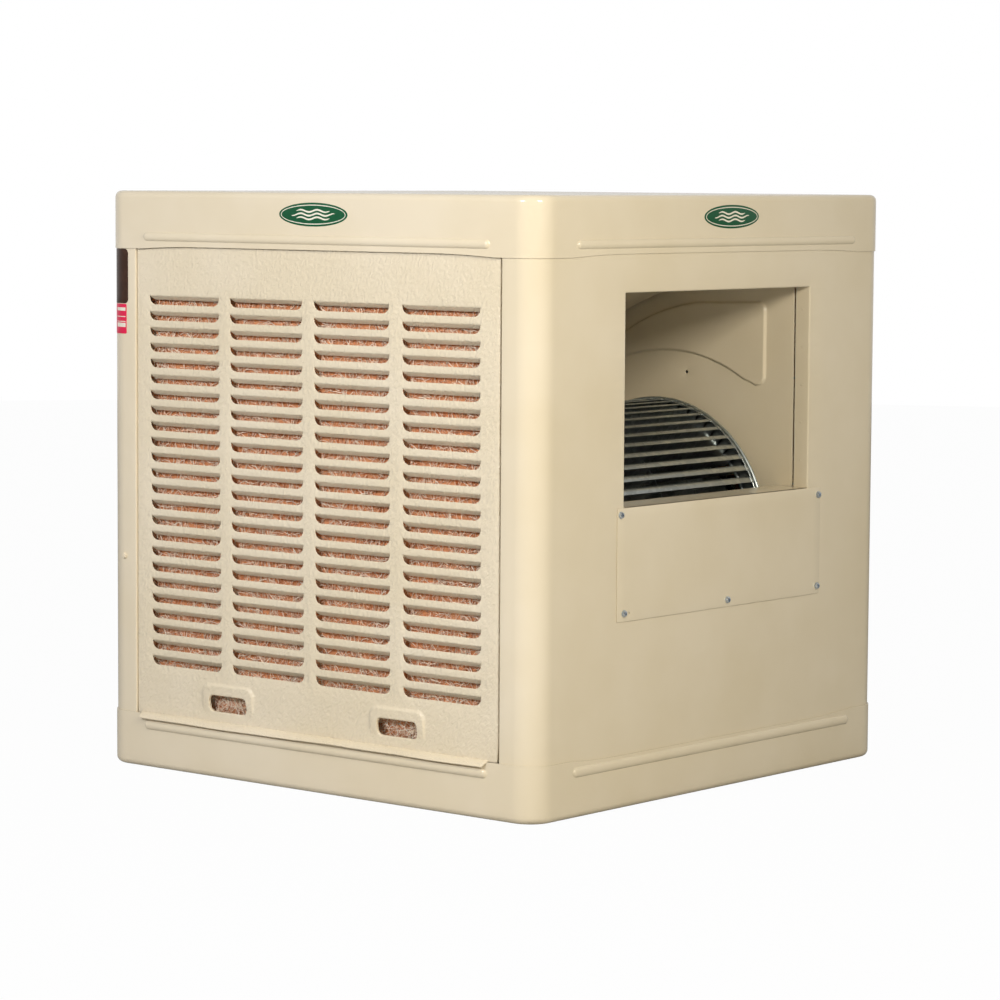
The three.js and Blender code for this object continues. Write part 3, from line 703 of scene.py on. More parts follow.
@dataclass(frozen=True)
class MouldedPlastic(Finish):
    """Moulded plastic, rubber or sprayed enamel: one colour all through, with dull, dusty clouds."""

    name: str
    colour: str
    dusty: str
    roughness: float
    worn: float = 0.15  # how much rougher it is where it is worn

    def shade(self, tree: bpy.types.NodeTree, place: bpy.types.NodeSocket) -> bpy.types.Node:
        """A plain body with slightly dusty patches and a 1.5 mm moulded texture.

        Args:
            tree: The material's node tree.
            place: The point's place on the piece, in metres.

        Returns:
            The shader node.
        """
        clouds = Patches(22, detail=4.0, span=(0.42, 0.72))
        colour = clouds.colour(tree, place, self.colour, self.dusty, most=0.7)
        rough = Patches(12).value(tree, place, self.roughness, self.roughness + self.worn)
        normal = Patches(1.5, detail=2.0).bumps(tree, place, 0.03)
        return add(tree, "BsdfPrincipled", {"Base Color": colour, "Roughness": rough, "Normal": normal})


@dataclass(frozen=True)
class AspenShavings(Finish):
    """Excelsior: thin curled aspen shavings, paler on top and red-brown deeper in: painted light and shade.
    """

    name: str
    pale: str = "#FFF0D6"
    middle: str = "#F6B27C"
    deep: str = "#B75F28"
    roughness: float = 0.65

    def shade(self, tree: bpy.types.NodeTree, place: bpy.types.NodeSocket) -> bpy.types.Node:
        """Wood whose tone changes from shaving to shaving, with strands 2 mm wide where it is matted.

        Args:
            tree: The material's node tree.
            place: The point's place on the piece, in metres.

        Returns:
            The shader node.
        """
        pale, middle, deep = (linear(tone) for tone in (self.pale, self.middle, self.deep))
        # A tone per shaving, partly its own: 0, deep in the mat, is painted shade; 1, loose on top, painted
        # light.
        tone = add(tree, "Attribute", {}, attribute_name="shaving_tone").outputs["Fac"]
        paler = add(tree, "MapRange", {"Value": tone, "From Min": 0.25, "From Max": 0.8})
        loose = add(tree, "Mix", {"Factor": paler, "A": middle, "B": pale}, data_type="RGBA")
        # Low tones pull the colour towards the deep red-brown: painted shade.
        shaded = add(tree, "MapRange", {"Value": tone, "From Max": 0.4, "To Min": 0.9, "To Max": 0.0})
        wood = add(tree, "Mix", {"Factor": shaded, "A": loose, "B": deep}, data_type="RGBA")
        tangled = add(tree, "Mapping", {"Vector": place, "Scale": (0.35, 1.0, 1.0)})
        curly = {"Scale": 1000 / 2.5, "Detail": 2.0, "Distortion": 1.5}
        strands = add(tree, "TexNoise", {"Vector": tangled, **curly})
        dark = add(tree, "MapRange", {"Value": strands, "From Min": 0.45, "From Max": 0.62, "To Max": 0.3})
        colour = add(tree, "Mix", {"Factor": dark, "A": wood, "B": deep}, data_type="RGBA")
        normal = add(tree, "Bump", {"Height": strands, "Distance": 0.5 * MM})
        sockets = {"Base Color": colour, "Roughness": self.roughness, "Normal": normal}
        return add(tree, "BsdfPrincipled", sockets)


@dataclass(frozen=True)
class PrintedVinyl(Finish):
    """A printed vinyl sticker: one ink with a soft gloss, slightly mottled where it was screened."""

    name: str
    colour: str
    mottle: str
    roughness: float = 0.32

    def shade(self, tree: bpy.types.NodeTree, place: bpy.types.NodeSocket) -> bpy.types.Node:
        """Ink with faint mottling 6 mm across.

        Args:
            tree: The material's node tree.
            place: The point's place on the piece, in metres.

        Returns:
            The shader node.
        """
        colour = Patches(6, span=(0.45, 0.7)).colour(tree, place, self.colour, self.mottle, most=0.6)
        normal = Patches(2.5, detail=1.0).bumps(tree, place, 0.02)
        sockets = {"Base Color": colour, "Roughness": self.roughness, "Normal": normal}
        return add(tree, "BsdfPrincipled", sockets)


@dataclass(frozen=True)
class StudioCard(Finish):
    """A sheet of opal acrylic over lamps for the floor: it looks white, but lights little round it."""

    name: str = "opal_acrylic_floor"
    colour: str = "#B4B4B2"
    glow: float = 0.975

    def shade(self, tree: bpy.types.NodeTree, place: bpy.types.NodeSocket) -> bpy.types.Node:
        """Plain matt white that glows where it is looked at.

        Args:
            tree: The material's node tree.
            place: The point's place, which a plain sheet has no use for.

        Returns:
            The shader node.
        """
        matt = add(tree, "BsdfDiffuse", {"Color": linear(self.colour)})
        lit = add(tree, "Emission", {"Color": linear("#FFFFFF"), "Strength": 1.0})
        seen = add(tree, "LightPath", {}).outputs["Is Camera Ray"]
        share = add(tree, "MapRange", {"Value": seen, "To Max": self.glow})
        mix = add(tree, "MixShader", {"Fac": share})
        for socket, shader in zip(mix.inputs[1:], (matt, lit)):
            tree.links.new(shader.outputs[0], socket)
        return mix


PAINT = EnamelPaint("baked_enamel_on_steel", Grain.SMOOTH)
GRAINED_PAINT = EnamelPaint("baked_enamel_on_embossed_steel", Grain.EMBOSSED)
ZINC_SHEET = GalvanisedSteel("hot_dip_galvanised_steel")
ZINC_PLATE = PlainMetal("bright_zinc_plated_steel", "#DDE6EE", "#B4C0CA", 0.22)  # bluish and bright
GROUND_STEEL = PlainMetal("ground_steel", "#B4B6B8", "#8D8F90", 0.2)  # neutral, with a sharp shine
BRONZE = PlainMetal("cast_bronze", "#A9854C", "#7A5E36", 0.35)  # brownish and dull
BRASS = PlainMetal("turned_brass", "#C2A057", "#8F7440", 0.28)  # yellow, with a soft shine
MOTOR_ENAMEL = MouldedPlastic("black_motor_enamel", "#26282B", "#3A3C3E", 0.42)  # satin near-black
RUBBER = MouldedPlastic("vulcanised_rubber", "#161617", "#2A2A2B", 0.7)  # black and quite matt
GREY_PLASTIC = MouldedPlastic("moulded_grey_polypropylene", "#4A4D50", "#5D6062", 0.5)  # waxy grey
WHITE_PLASTIC = MouldedPlastic("moulded_white_polyethylene", "#E4E2DA", "#CFCCC0", 0.45)  # milky
RED_PLASTIC = MouldedPlastic("moulded_red_polystyrene", "#A8301F", "#8C2A1D", 0.4)  # hard, clear red
SHAVINGS = AspenShavings("aspen_shavings")
GREEN_INK = PrintedVinyl("green_printed_vinyl", "#0B5230", "#125C38")
CREAM_INK = PrintedVinyl("cream_printed_vinyl", "#F0EAD6", "#E6DFC9")
BROWN_INK = PrintedVinyl("brown_printed_vinyl", "#3A2315", "#4C3020")
PINK_INK = PrintedVinyl("pink_printed_vinyl", "#E6214F", "#DA1C48")


def make(
    name: str,
    surface: Surface,
    finish: Finish,
    body: str,
    replaces: Sequence[str] = (),
    crease: float | None = 40.0,
) -> bpy.types.Object:
    """Turns a surface into a finished piece that rides on a body.

    Args:
        name: The piece's name.
        surface: Its shape.
        finish: Its finish.
        body: The body that it rides on.
        replaces: The CAD nodes that it stands for.
        crease: Edges that bend by more than this many degrees stay sharp, as in Surface.mesh.

    Returns:
        The object.
    """
    made = bpy.data.objects.new(name, surface.mesh(name, crease))
    bpy.context.scene.collection.objects.link(made)
    made.data.materials.append(finish.material())
    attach(made, body)
    if replaces:
        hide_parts(*replaces)
    LOG.info("%s: %d faces on %s", name, len(made.data.polygons), body)
    return made


def make_painted(name: str, surface: Surface, node: str, crease: float = 40.0) -> None:
    """Makes a piece of smooth painted sheet on the cabinet.

    Args:
        name: The piece's name.
        surface: Its shape.
        node: The CAD node that it stands for.
        crease: Edges that bend by more than this many degrees stay sharp.
    """
    make(name, surface, PAINT, "cabinet", [node], crease)


# ---- cabinet shell -----------------------------------------------------------------------------


@dataclass
class Pan:
    """A drawn steel pan with round corners and a raised bead along each side.

    The top pan hangs lid up and the base pan stands floor down: both are drawn as the same shell,
    with its height measured from the closed side.
    """

    node: str
    corner: float = 42.0
    turn_radius: float = 10.0
    bead_from_edge: float = 17.0
    bead_half_length: float = 344.5
    bead_half_width: float = 7.0
    bead_rise: float = 3.9
    edge_dip: float = 4.0  # how far the middle of the open edge is drawn in
    dip_run: float = 120.0
    sheet: float = 1.2
    crown: float = 0.5
    upside_down: bool = False
    half: float = field(init=False)
    height: float = field(init=False)

    def __post_init__(self) -> None:
        """Takes the pan's outside from its CAD node, less the beads."""
        low, high = node_box(self.node)
        self.half = float(high[0]) - BEAD_REACH
        self.height = float(high[2] - low[2])

    def side_stations(self) -> Array:
        """Distances along one side from its middle, close together where the beads end."""
        end, bead = self.half - self.corner, self.bead_half_length
        coarse = [np.linspace(0, bead - 90, 9)[:-1], np.linspace(bead - 90, bead - 14, 9)[:-1]]
        fine = np.arange(bead - 14, bead + 5, 1.25)
        right = np.concatenate([*coarse, fine, np.linspace(bead + 6, end, 6)[:-1]])
        return np.concatenate([-right[:0:-1], right])

    def ring(self) -> tuple[Array, Array, Array]:
        """The plan's outline once round.

        Returns:
            The points, their outward normals, and each point's distance from its side's middle.
        """
        along = self.side_stations()
        end = self.half - self.corner
        turn = np.radians(np.linspace(-90, 0, 17))
        round_off = np.stack([np.cos(turn), np.sin(turn)], axis=1)
        side = np.stack([along, np.full_like(along, -self.half)], axis=1)
        points = np.concatenate([side, np.array([end, -end]) + self.corner * round_off])
        normals = np.concatenate([np.tile([0.0, -1.0], (len(along), 1)), round_off])
        far = np.concatenate([along, np.full(len(turn), end)])
        spun, pointing = [], []
        for quarter in range(4):
            c, s = math.cos(quarter * math.pi / 2), math.sin(quarter * math.pi / 2)
            rotate = np.array([[c, s], [-s, c]])
            spun.append(points @ rotate)
            pointing.append(normals @ rotate)
        return np.concatenate(spun), np.concatenate(pointing), np.tile(far, 4)

    def edge_at(self, far: Array) -> Array:
        """How far the open edge has drawn in towards the closed side, along each side."""
        share = np.clip((self.bead_half_length + 8 - np.abs(far)) / self.dip_run, 0, 1)
        return self.edge_dip * share * (2 - share)

    def bead(self, far: Array, height: float) -> Array:
        """How proud the bead stands.

        Args:
            far: Distances from the side's middle.
            height: The height from the closed side.

        Returns:
            The rise at each distance.
        """
        axis = self.height - self.bead_from_edge
        over = np.maximum(np.abs(far) - (self.bead_half_length - self.bead_half_width), 0.0)
        near = np.hypot(over, height - axis) / self.bead_half_width
        return self.bead_rise * np.sqrt(np.clip(1 - near**2, 0, 1)) ** 1.15

    def shell(self) -> Surface:
        """The pan's skin, outside and inside, with its beads and its open edge."""
        points, normals, far = self.ring()
        top = self.height - self.edge_at(far)
        axis = self.height - self.bead_from_edge
        foot, head = axis - self.bead_half_width - 2, axis + self.bead_half_width + 1.0
        wall = [*np.linspace(self.turn_radius, foot, 7)[:-1], *np.linspace(foot, head, 30)]
        rows = []
        for turn in np.radians(np.linspace(0, 90, 9))[:-1]:
            inset = self.turn_radius * (1 - math.sin(turn))
            rows.append(at_height(points - normals * inset, self.turn_radius * (1 - math.cos(turn))))
        rows += [at_height(points + normals * self.bead(far, z)[:, None], z) for z in wall]
        rows += [at_height(points, head + (top - head) * share) for share in (0.5, 1.0)]
        behind = points - normals * self.sheet
        low = at_height(points - normals * self.turn_radius, self.sheet)
        surface = Surface()
        surface.grid(rows, around=True)
        inner = [at_height(behind, top), at_height(behind, self.turn_radius), low]
        surface.grid([rows[-1], *inner], around=True)
        for ring, crown in ((rows[0], 0.0 if self.upside_down else self.crown), (low, 0.0)):
            self.close(surface, ring, crown)
        return surface

    def close(self, surface: Surface, ring: Array, crown: float) -> None:
        """Closes the flat side of one skin.

        Args:
            surface: The shell so far.
            ring: Where the skin turns into the flat.
            crown: How far the flat's middle is raised.
        """
        shares = (1.0, 0.97, 0.85, 0.6, 0.3, 0.05)
        rows = [ring * [share, share, 1.0] + [0, 0, crown * (1 - share)] for share in shares]
        surface.grid(rows, around=True)
        surface.cap(rows[-1])

    def build(self, name: str) -> None:
        """Makes the pan under a name."""
        low, high = node_box(self.node)
        way, foot = (-1, high[2]) if self.upside_down else (1, low[2])
        make_painted(name, self.shell().moved(lambda points: points * [1, 1, way] + [0, 0, foot]), self.node)


@dataclass
class CornerSheets:
    """The sheet round both front corners with the flanged outlet, and the two rear posts."""

    corner: float = 40.2
    sheet: float = 1.0
    bend: float = 1.6
    return_width: float = 25.0
    outlet_half_width: float = 229.0
    outlet_bottom: float = 291.0
    outlet_top: float = 748.0
    flange: float = 26.0
    flange_bend: float = 2.5
    dishing: float = 0.35
    weld: tuple[tuple[float, float], ...] = ((2.2, 0.0), (1.6, 0.45))  # radius and rise
    weld_from_face: float = 14.0
    edge: float = field(init=False)
    outside: float = field(init=False)
    low: float = field(init=False)
    high: float = field(init=False)

    def __post_init__(self) -> None:
        """Takes the sheet's outside and ends from its CAD node."""
        low, high = node_box("discharge_panel")
        self.outside = float(high[0])
        self.edge = float(low[0])
        self.low, self.high = float(low[2]), float(high[2])

    def levels(self) -> Array:
        """Heights at which the sheet has points, all the way up."""
        return np.linspace(self.low, self.high, 23)

    def corner_plan(self) -> Array:
        """The plan round the corner at +X, -Y, from the flat front to the flange's end."""
        flat = self.outside - self.corner
        bend = arc((flat, -flat), (self.corner, self.corner), 0, -90, 20)
        side = [[self.edge + 12, -self.outside], [self.edge + self.bend, -self.outside]]
        fold = arc((self.edge + self.bend, -self.outside + self.bend), (self.bend, self.bend), -90, -180, 5)
        end = [[self.edge, -self.outside + self.return_width]]
        return np.concatenate([bend, side, fold[1:], end])

    def wrap(self, surface: Surface, plan: Array) -> None:
        """Adds a sheet of the given plan, from bottom to top, with its inner face."""
        inward = -beside(plan)
        if inward[0] @ plan[0] > 0:
            inward = -inward
        tip = np.array([plan[-1], plan[-1] + inward[-1] * self.sheet])
        for line in (plan, plan + inward * self.sheet, tip):
            surface.grid([at_height(line, z) for z in self.levels()])

    def front(self) -> Surface:
        """The flat front with its opening, the two corners and their flanges."""
        surface = Surface()
        flat = self.outside - self.corner
        levels = self.levels()
        left, right = (np.column_stack([np.full(len(levels), y), levels]) for y in (-flat, flat))
        across = np.linspace(-flat, flat, 25)[1:-1]
        foot, head = (np.column_stack([across, np.full(len(across), z)]) for z in (self.low, self.high))
        outline = np.concatenate([left[:1], foot, right, head[::-1], left[:0:-1]])
        w, r = self.outlet_half_width + self.flange_bend, self.flange_bend
        hole = rounded_rectangle((-w, self.outlet_bottom - r), (w, self.outlet_top + r), r + 1.5, 20.0)
        within = lattice(np.linspace(-flat, flat, 21), np.linspace(self.low, self.high, 21))
        plate = cut_plate(outline, [hole], within)

        def lift(points: Array, depth: Array | float) -> Array:
            """Puts the flat sheet in place, very slightly dished as sheet steel is."""
            return np.column_stack([self.outside - self.dished(points) - depth, points])

        def upright(points: Array, depth: float) -> Array:
            """Puts the flange's points at a depth behind the face."""
            return np.column_stack([np.full(len(points), self.outside - depth), points])

        surface.add(lift(plate.points, 0.0), plate.triangles)
        surface.add(lift(plate.points, self.sheet), plate.triangles[:, ::-1])
        normal = -outward(hole)
        jamb = hole + normal * r
        behind = jamb - normal * self.sheet
        rows = rolled(lift, hole, normal, r, 5)
        rows += [upright(jamb, depth) for depth in (self.flange * 0.5, self.flange)]
        rows += [upright(behind, depth) for depth in (self.flange, r)]
        surface.grid(rows, around=True)
        self.wrap(surface, self.corner_plan())
        self.wrap(surface, self.corner_plan() * [1, -1])
        self.spot_welds(surface)
        return surface

    def dished(self, points: Array) -> Array:
        """How far the flat sheet lies behind its plane: nothing at the edges and round the outlet."""
        flat = self.outside - self.corner
        across, up = points.T
        edge = np.clip((flat - np.abs(across)) / 60, 0, 1)
        low = np.clip((up - 84) / 60, 0, 1) * np.clip((262 - up) / 40, 0, 1)
        wave = np.sin(across / 95.0) * 0.5 + np.sin(across / 41.0 + up / 60) * 0.5
        return self.dishing * (1 + wave) * smooth(edge) * smooth(low)

    def spot_welds(self, surface: Surface) -> None:
        """Small round dimples along both jambs, where the scroll's lugs are welded on."""
        for side in (-1, 1):
            y = side * self.outlet_half_width
            for z in np.linspace(self.outlet_bottom + 190, self.outlet_top - 34, 5):
                middle = (self.outside - self.weld_from_face, z)
                rims = [at_y(arc(middle, (r, r), 0, 330, 11), y - side * proud) for r, proud in self.weld]
                surface.cap(rims[-1])
                surface.grid(rims, around=True)

    def post(self, side: int) -> Surface:
        """A rear corner post; side is -1 for the one at -Y and 1 for the one at +Y."""
        plan = self.corner_plan()
        surface = Surface()
        self.wrap(surface, plan)
        self.wrap(surface, np.stack([-plan[:, 1], -plan[:, 0]], axis=1))
        return surface.moved(lambda points: points * [-1, -side, 1])

    def build(self) -> None:
        """Makes the outlet sheet and the two posts."""
        make_painted("outlet_sheet", self.front(), "discharge_panel")
        for side, label in ((-1, "left"), (1, "right")):
            make_painted(f"{label}_rear_post", self.post(side), f"rear_post_{label}")


@dataclass
class CoverPlate:
    """The plain plate that closes the lower half of the outlet opening."""

    thickness: float = 1.0
    edge: float = 0.5
    corner: float = 2.0
    lifted: float = 0.2
    spare_hole: tuple[float, float] = (-217.0, 285.0)
    hole_radius: float = 2.3

    def build(self) -> None:
        """Makes the plate, with its edges softened and its foot standing off a little."""
        low, high = node_box("outlet_cover_plate")
        outline = rounded_rectangle(low[1:] + self.edge, high[1:] - self.edge, self.corner, 14.0)
        hole = arc(self.spare_hole, (self.hole_radius, self.hole_radius), 0, 345, 23)
        within = lattice(np.linspace(low[1], high[1], 27), np.linspace(low[2], high[2], 11))
        plate = cut_plate(outline, [hole], within)

        def lift(points: Array, depth: Array | float) -> Array:
            """Lays the plate on the sheet, with a slight wave between its screws."""
            away = np.abs(np.sin((points[:, 0] - low[1]) / (high[1] - low[1]) * 2 * np.pi))
            lower = np.clip((high[2] - points[:, 1]) / (high[2] - low[2]), 0, 1)
            return np.column_stack([high[0] + self.lifted * away * lower - depth, points])

        surface = Surface()
        add_sheet(surface, plate, lift, self.thickness, self.edge)
        make_painted("cover_plate", surface, "outlet_cover_plate", 50)


@dataclass
class HexScrew:
    """A hex washer-headed sheet-metal screw with a cross recess, pointing along an axis."""

    washer_radius: float = 5.2
    washer_edge: float = 0.8
    flats: float = 4.2
    crown: float = 3.9
    recess: float = 2.1

    def surface(self) -> Surface:
        """The screw's head, seat at the origin, pointing out along +X."""
        surface = Surface()
        r, e, hex_half = self.washer_radius, self.washer_edge, self.flats * 0.93
        skirt = [[0.01, 0], [r - 0.2, 0], [r, 0.25], [r - 0.1, e], [r - 0.6, e + 0.3]]
        surface.turned(np.array([*skirt, [self.flats, e + 0.45]]), X_AXIS, 32)
        angle = np.radians(np.arange(0, 360, 7.5))
        local = (angle + np.pi / 6) % (np.pi / 3) - np.pi / 6
        rows = []
        for height, grow, round_share in (
            (e + 0.3, 0.15, 0.0),
            (self.crown - 0.7, 0.0, 0.0),
            (self.crown - 0.25, -0.15, 0.45),
            (self.crown, -0.7, 1.0),
        ):
            hexagon = (hex_half + grow) / np.cos(local)
            radius = hexagon * (1 - round_share) + (hex_half + grow) * round_share
            rows.append(self.level(angle, radius, height))
        surface.grid(rows, around=True)
        arm = 0.34 + 0.66 * np.abs(np.cos(2 * angle)) ** 6
        cross = [(1.0, self.crown), (0.8, self.crown - 1.2)]
        rows = [rows[-1], *(self.level(angle, self.recess * arm * share, height) for share, height in cross)]
        surface.grid(rows, around=True)
        surface.cap(rows[-1])
        return surface

    def level(self, angle: Array, radius: Array, height: float) -> Array:
        """A ring of points round the head at one height."""
        return X_AXIS.place(radius * np.cos(angle), radius * np.sin(angle), np.full(len(angle), height))

    def build(self, name: str, node: str, facing: Sequence[float], finish: Finish, slot: str) -> None:
        """Makes the screw that stands for a CAD node.

        Args:
            name: The piece's name.
            node: The CAD node.
            facing: The way its head points.
            finish: Its finish.
            slot: The record's material slot; not used.
        """
        low, high = node_box(node)
        out = np.array(facing, dtype=float)
        seat = (low + high) / 2 - out * (np.abs(high - low) @ np.abs(out)) / 2
        turn = np.array(Vector((1, 0, 0)).rotation_difference(Vector(facing)).to_matrix())
        twist = math.radians(sum(ord(letter) for letter in node) * 7 % 60)
        spin = np.array(Matrix.Rotation(twist, 3, "X"))
        placed = self.surface().moved(lambda points: points @ spin.T @ turn.T + seat)
        make(name, placed, finish, "cabinet", [node], 32)


# ---- pad panels --------------------------------------------------------------------------------


class Side(Enum):
    """The three sides that carry a wet pad, and how many quarter turns each is from the left."""

    LEFT = ("left", 0)
    REAR = ("rear", 3)
    RIGHT = ("right", 2)

    @property
    def label(self) -> str:
        """The side's name in the frame."""
        return self.value[0]

    def place(self, points: Array) -> Array:
        """Turns points of the left side (facing -Y) to this side."""
        turn = self.value[1] * math.pi / 2
        c, s = round(math.cos(turn)), round(math.sin(turn))
        return points @ np.array([[c, s, 0], [-s, c, 0], [0, 0, 1]], dtype=float)


@dataclass
class LouvredPanel:
    """An embossed steel tray with four columns of pressed louvres, two finger holes and a drip lip.

    It is drawn facing -Y: across along X, depth along +Y from the face, and height along Z.
    """

    rows: int = 24
    first_row: float = 730.5
    pitch: float = 24.07
    skew: float = -0.0095  # how far the columns lean to one side, per unit of height
    slot_height: float = 15.5
    slot_width: float = 148.0
    slot_corner: tuple[float, float] = (13.5, 11.5)
    columns: tuple[float, ...] = (-258.3, -87.9, 83.2, 256.0)
    sheet: float = 0.9
    edge: float = 0.35
    bend: float = 2.2
    depth: float = 41.8
    head_depth: float = 6.0
    vane_angle: float = 50.0
    vane_length: float = 11.6
    vane_bend: float = 2.6
    vane_gap: float = 0.5
    vane_scatter: float = 0.035
    finger_holes: tuple[float, ...] = (-171.0, 171.0)
    finger_height: float = 113.5
    finger_size: tuple[float, float] = (77.0, 25.0)
    finger_corner: float = 8.5
    finger_roll: float = 2.2
    finger_depth: float = 4.5
    boss_top: float = 144.0
    boss_size: tuple[float, float] = (108.0, 66.0)
    boss_corner: float = 15.0
    boss_rise: float = 2.9
    lip_ends: tuple[float, float] = (-356.0, 347.0)
    lip_reach: float = 11.8
    lip_drop: float = 8.8
    head_dip: float = 3.6
    left_play: float = -0.9
    right_play: float = 2.5
    foot_bend: float = 0.8
    bottom: float = 83.3
    left: float = field(init=False)
    right: float = field(init=False)
    top: float = field(init=False)
    face: float = field(init=False)

    def __post_init__(self) -> None:
        """Takes the tray's outside from its CAD node."""
        low, high = node_box("louvred_panel_left")
        self.left = float(low[0]) + self.left_play
        self.right = float(high[0]) - self.right_play
        self.top = float(high[2])
        self.face = float(high[1]) - 42.0

    def slot(self, x: float, top: float) -> Array:
        """A louvre's opening: square above, with two broad round corners below, anticlockwise."""
        w, h = self.slot_width / 2, self.slot_height
        rx, rz = self.slot_corner
        left = arc((x - w + rx, top - h + rz), (rx, rz), 180, 270, 8)
        right = arc((x + w - rx, top - h + rz), (rx, rz), -90, 0, 8)
        head = between((x + w, top), (x - w, top), 24.0)
        return np.concatenate([left, right, head, [[x - w, top]]])

    def places(self) -> list[tuple[float, float]]:
        """Where each louvre's opening lies: its middle, and its head's height."""
        tops = self.first_row - self.pitch * np.arange(self.rows)
        foot = tops[-1]
        return [(x + self.skew * (top - foot), top) for top in tops for x in self.columns]

    def finger_hole(self, x: float, grow: float) -> Array:
        """A finger hole's outline, grown by a distance."""
        w, h = self.finger_size[0] / 2 + grow, self.finger_size[1] / 2 + grow
        low, high = (x - w, self.finger_height - h), (x + w, self.finger_height + h)
        return rounded_rectangle(low, high, self.finger_corner + grow, 6.0)

    def boss(self, x: float, grow: float, step: float) -> Array:
        """The outline of the boss round a finger hole, grown by a distance."""
        w, h = self.boss_size[0] / 2 + grow, self.boss_size[1]
        low, high = (x - w, self.boss_top - h - grow), (x + w, self.boss_top + grow)
        return rounded_rectangle(low, high, self.boss_corner + grow, step)

    def relief(self, points: Array) -> Array:
        """How proud of its plane the face stands: the bosses round the finger holes, and a faint wave.

        Args:
            points: Places on the face.

        Returns:
            The rise at each of them.
        """
        rise = 0.35 * np.sin(points[:, 0] / 88.0) * np.sin(points[:, 1] / 131.0)
        w, h = self.boss_size[0] / 2, self.boss_size[1] / 2
        for x in self.finger_holes:
            near = np.all(np.abs(points - [x, self.boss_top - h]) < [w + 12, h + 12], axis=1)
            deep = distance_in(points[near], self.boss(x, 0.0, 8.0))
            fade = smooth((points[near, 1] - self.bottom - 12) / 26)
            rise[near] += self.boss_rise * smooth((deep + 1.0) / 5.0) * fade
        return rise

    def face_points(self) -> Array:
        """Points inside the face that its waves and bosses need."""
        points = [lattice(np.arange(-352, 353, 22.0), np.arange(96, 800, 22.0))]
        for x in self.finger_holes:
            points += [self.boss(x, grow, 5.0) for grow in (-6.0, -4.5, -3.0, -1.5, 0.0, 1.5, 3.0)]
            points += [self.finger_hole(x, grow) for grow in (4.0, 8.0)]
        return np.concatenate(points)

    def outline(self) -> Array:
        """The face's edge inside its bends; its head follows the dip of the pan's skirt above."""
        left, right = self.left + self.bend, self.right - self.bend
        low = self.bottom + self.foot_bend
        foot = between((left, low), (right, low), 22.0)
        far = between((right, low), (right, self.top), 22.0)
        near = between((left, self.top), (left, low), 22.0)
        across = between((right, self.top), (left, self.top), 12.0)
        share = np.clip((352 - np.abs(across[:, 0])) / 120.0, 0, 1)
        across[:, 1] += self.head_dip * share * (2 - share)
        return np.concatenate([foot, far, across, near])

    def lift(self, points: Array, depth: Array | float) -> Array:
        """Puts flat points of the face, at a depth behind it, into space."""
        return np.column_stack([points[:, 0], depth - self.relief(points), points[:, 1]])

    def sheet_metal(self, surface: Surface) -> None:
        """Adds the pierced face, the folded sides and the rolled finger holes."""
        slots = [self.slot(x, top) for x, top in self.places()]
        fingers = [self.finger_hole(x, self.finger_roll) for x in self.finger_holes]
        plate = cut_plate(self.outline(), [*slots, *fingers], self.face_points())
        surface.add(self.lift(plate.points, 0.0), plate.triangles)
        back = plate.points.copy()
        cut, roll = (self.edge, self.sheet, 3), (self.finger_roll, self.finger_depth, 5)
        for number, loop in enumerate(plate.loops[1:]):
            contour = plate.points[loop]
            normal = -outward(contour)
            radius, depth, steps = cut if number < len(slots) else roll
            rim = contour + normal * radius
            if number < len(slots):
                back[loop] = rim
            rows = rolled(self.lift, contour, normal, radius, steps)
            surface.grid([*rows, self.lift(rim, depth)], around=True)
        surface.add(self.lift(back, self.sheet), plate.triangles[:, ::-1])
        self.folds(surface, plate)

    def folds(self, surface: Surface, plate: Plate) -> None:
        """Adds the sides that are folded back from the face, and the sill under it."""
        edge = plate.points[plate.loops[0]]
        normal = outward(edge)
        r = np.where(edge[:, 1] < self.bottom + self.bend, self.foot_bend, self.bend)
        deep = np.where(edge[:, 1] > self.top - 1.0, self.head_depth, self.depth)
        inner = edge + normal * (r[:, None] - self.sheet)
        rows = rolled(self.lift, edge, normal, r, 5)
        rows += [at_y(edge + normal * r[:, None], deep), at_y(inner, deep), self.lift(inner, r)]
        surface.grid(rows, around=True)

    def vane(self) -> Surface:
        """One louvre's vane, bent inwards from the head of its opening, which is at the origin."""
        lean = math.radians(self.vane_angle)
        bend = [
            (self.vane_bend * (1 - math.cos(t)), -self.vane_bend * math.sin(t), t)
            for t in np.linspace(0, lean, 5)
        ]
        depth, drop, _ = bend[-1]
        left = self.vane_length - self.vane_bend * lean
        flat = [
            (depth + math.sin(lean) * left * s, drop - math.cos(lean) * left * s, lean)
            for s in (0.12, 0.3, 0.5, 0.68, 0.84, 0.95, 1.0)
        ]
        path = np.array(bend + flat)
        length = np.concatenate([[0], np.cumsum(np.hypot(*np.diff(path[:, :2], axis=0).T))])
        rx, rz = self.slot_corner
        over = np.clip((length - (self.slot_height - rz - 1.0)) / rz, 0, 1)
        half = self.slot_width / 2 - self.vane_gap - rx * (1 - np.sqrt(1 - over**2 * 0.98))
        end = np.linspace(0.8, 1, 4)
        across = np.concatenate([-end[::-1], np.linspace(-0.6, 0.6, 5), end])
        x = half[:, None] * across
        deep, fall, angle = (column[:, None] + 0 * x for column in path.T)
        front, behind = (
            np.stack([x, deep + offset * np.cos(angle), fall + offset * np.sin(angle)], axis=-1)
            for offset in (0.0, self.sheet)
        )
        surface = Surface()
        surface.grid(front)
        surface.grid(behind, flip=True)
        surface.grid([front[:, 0], behind[:, 0]], flip=True)
        surface.grid([front[:, -1], behind[:, -1]])
        surface.grid([front[-1], behind[-1]])
        return surface

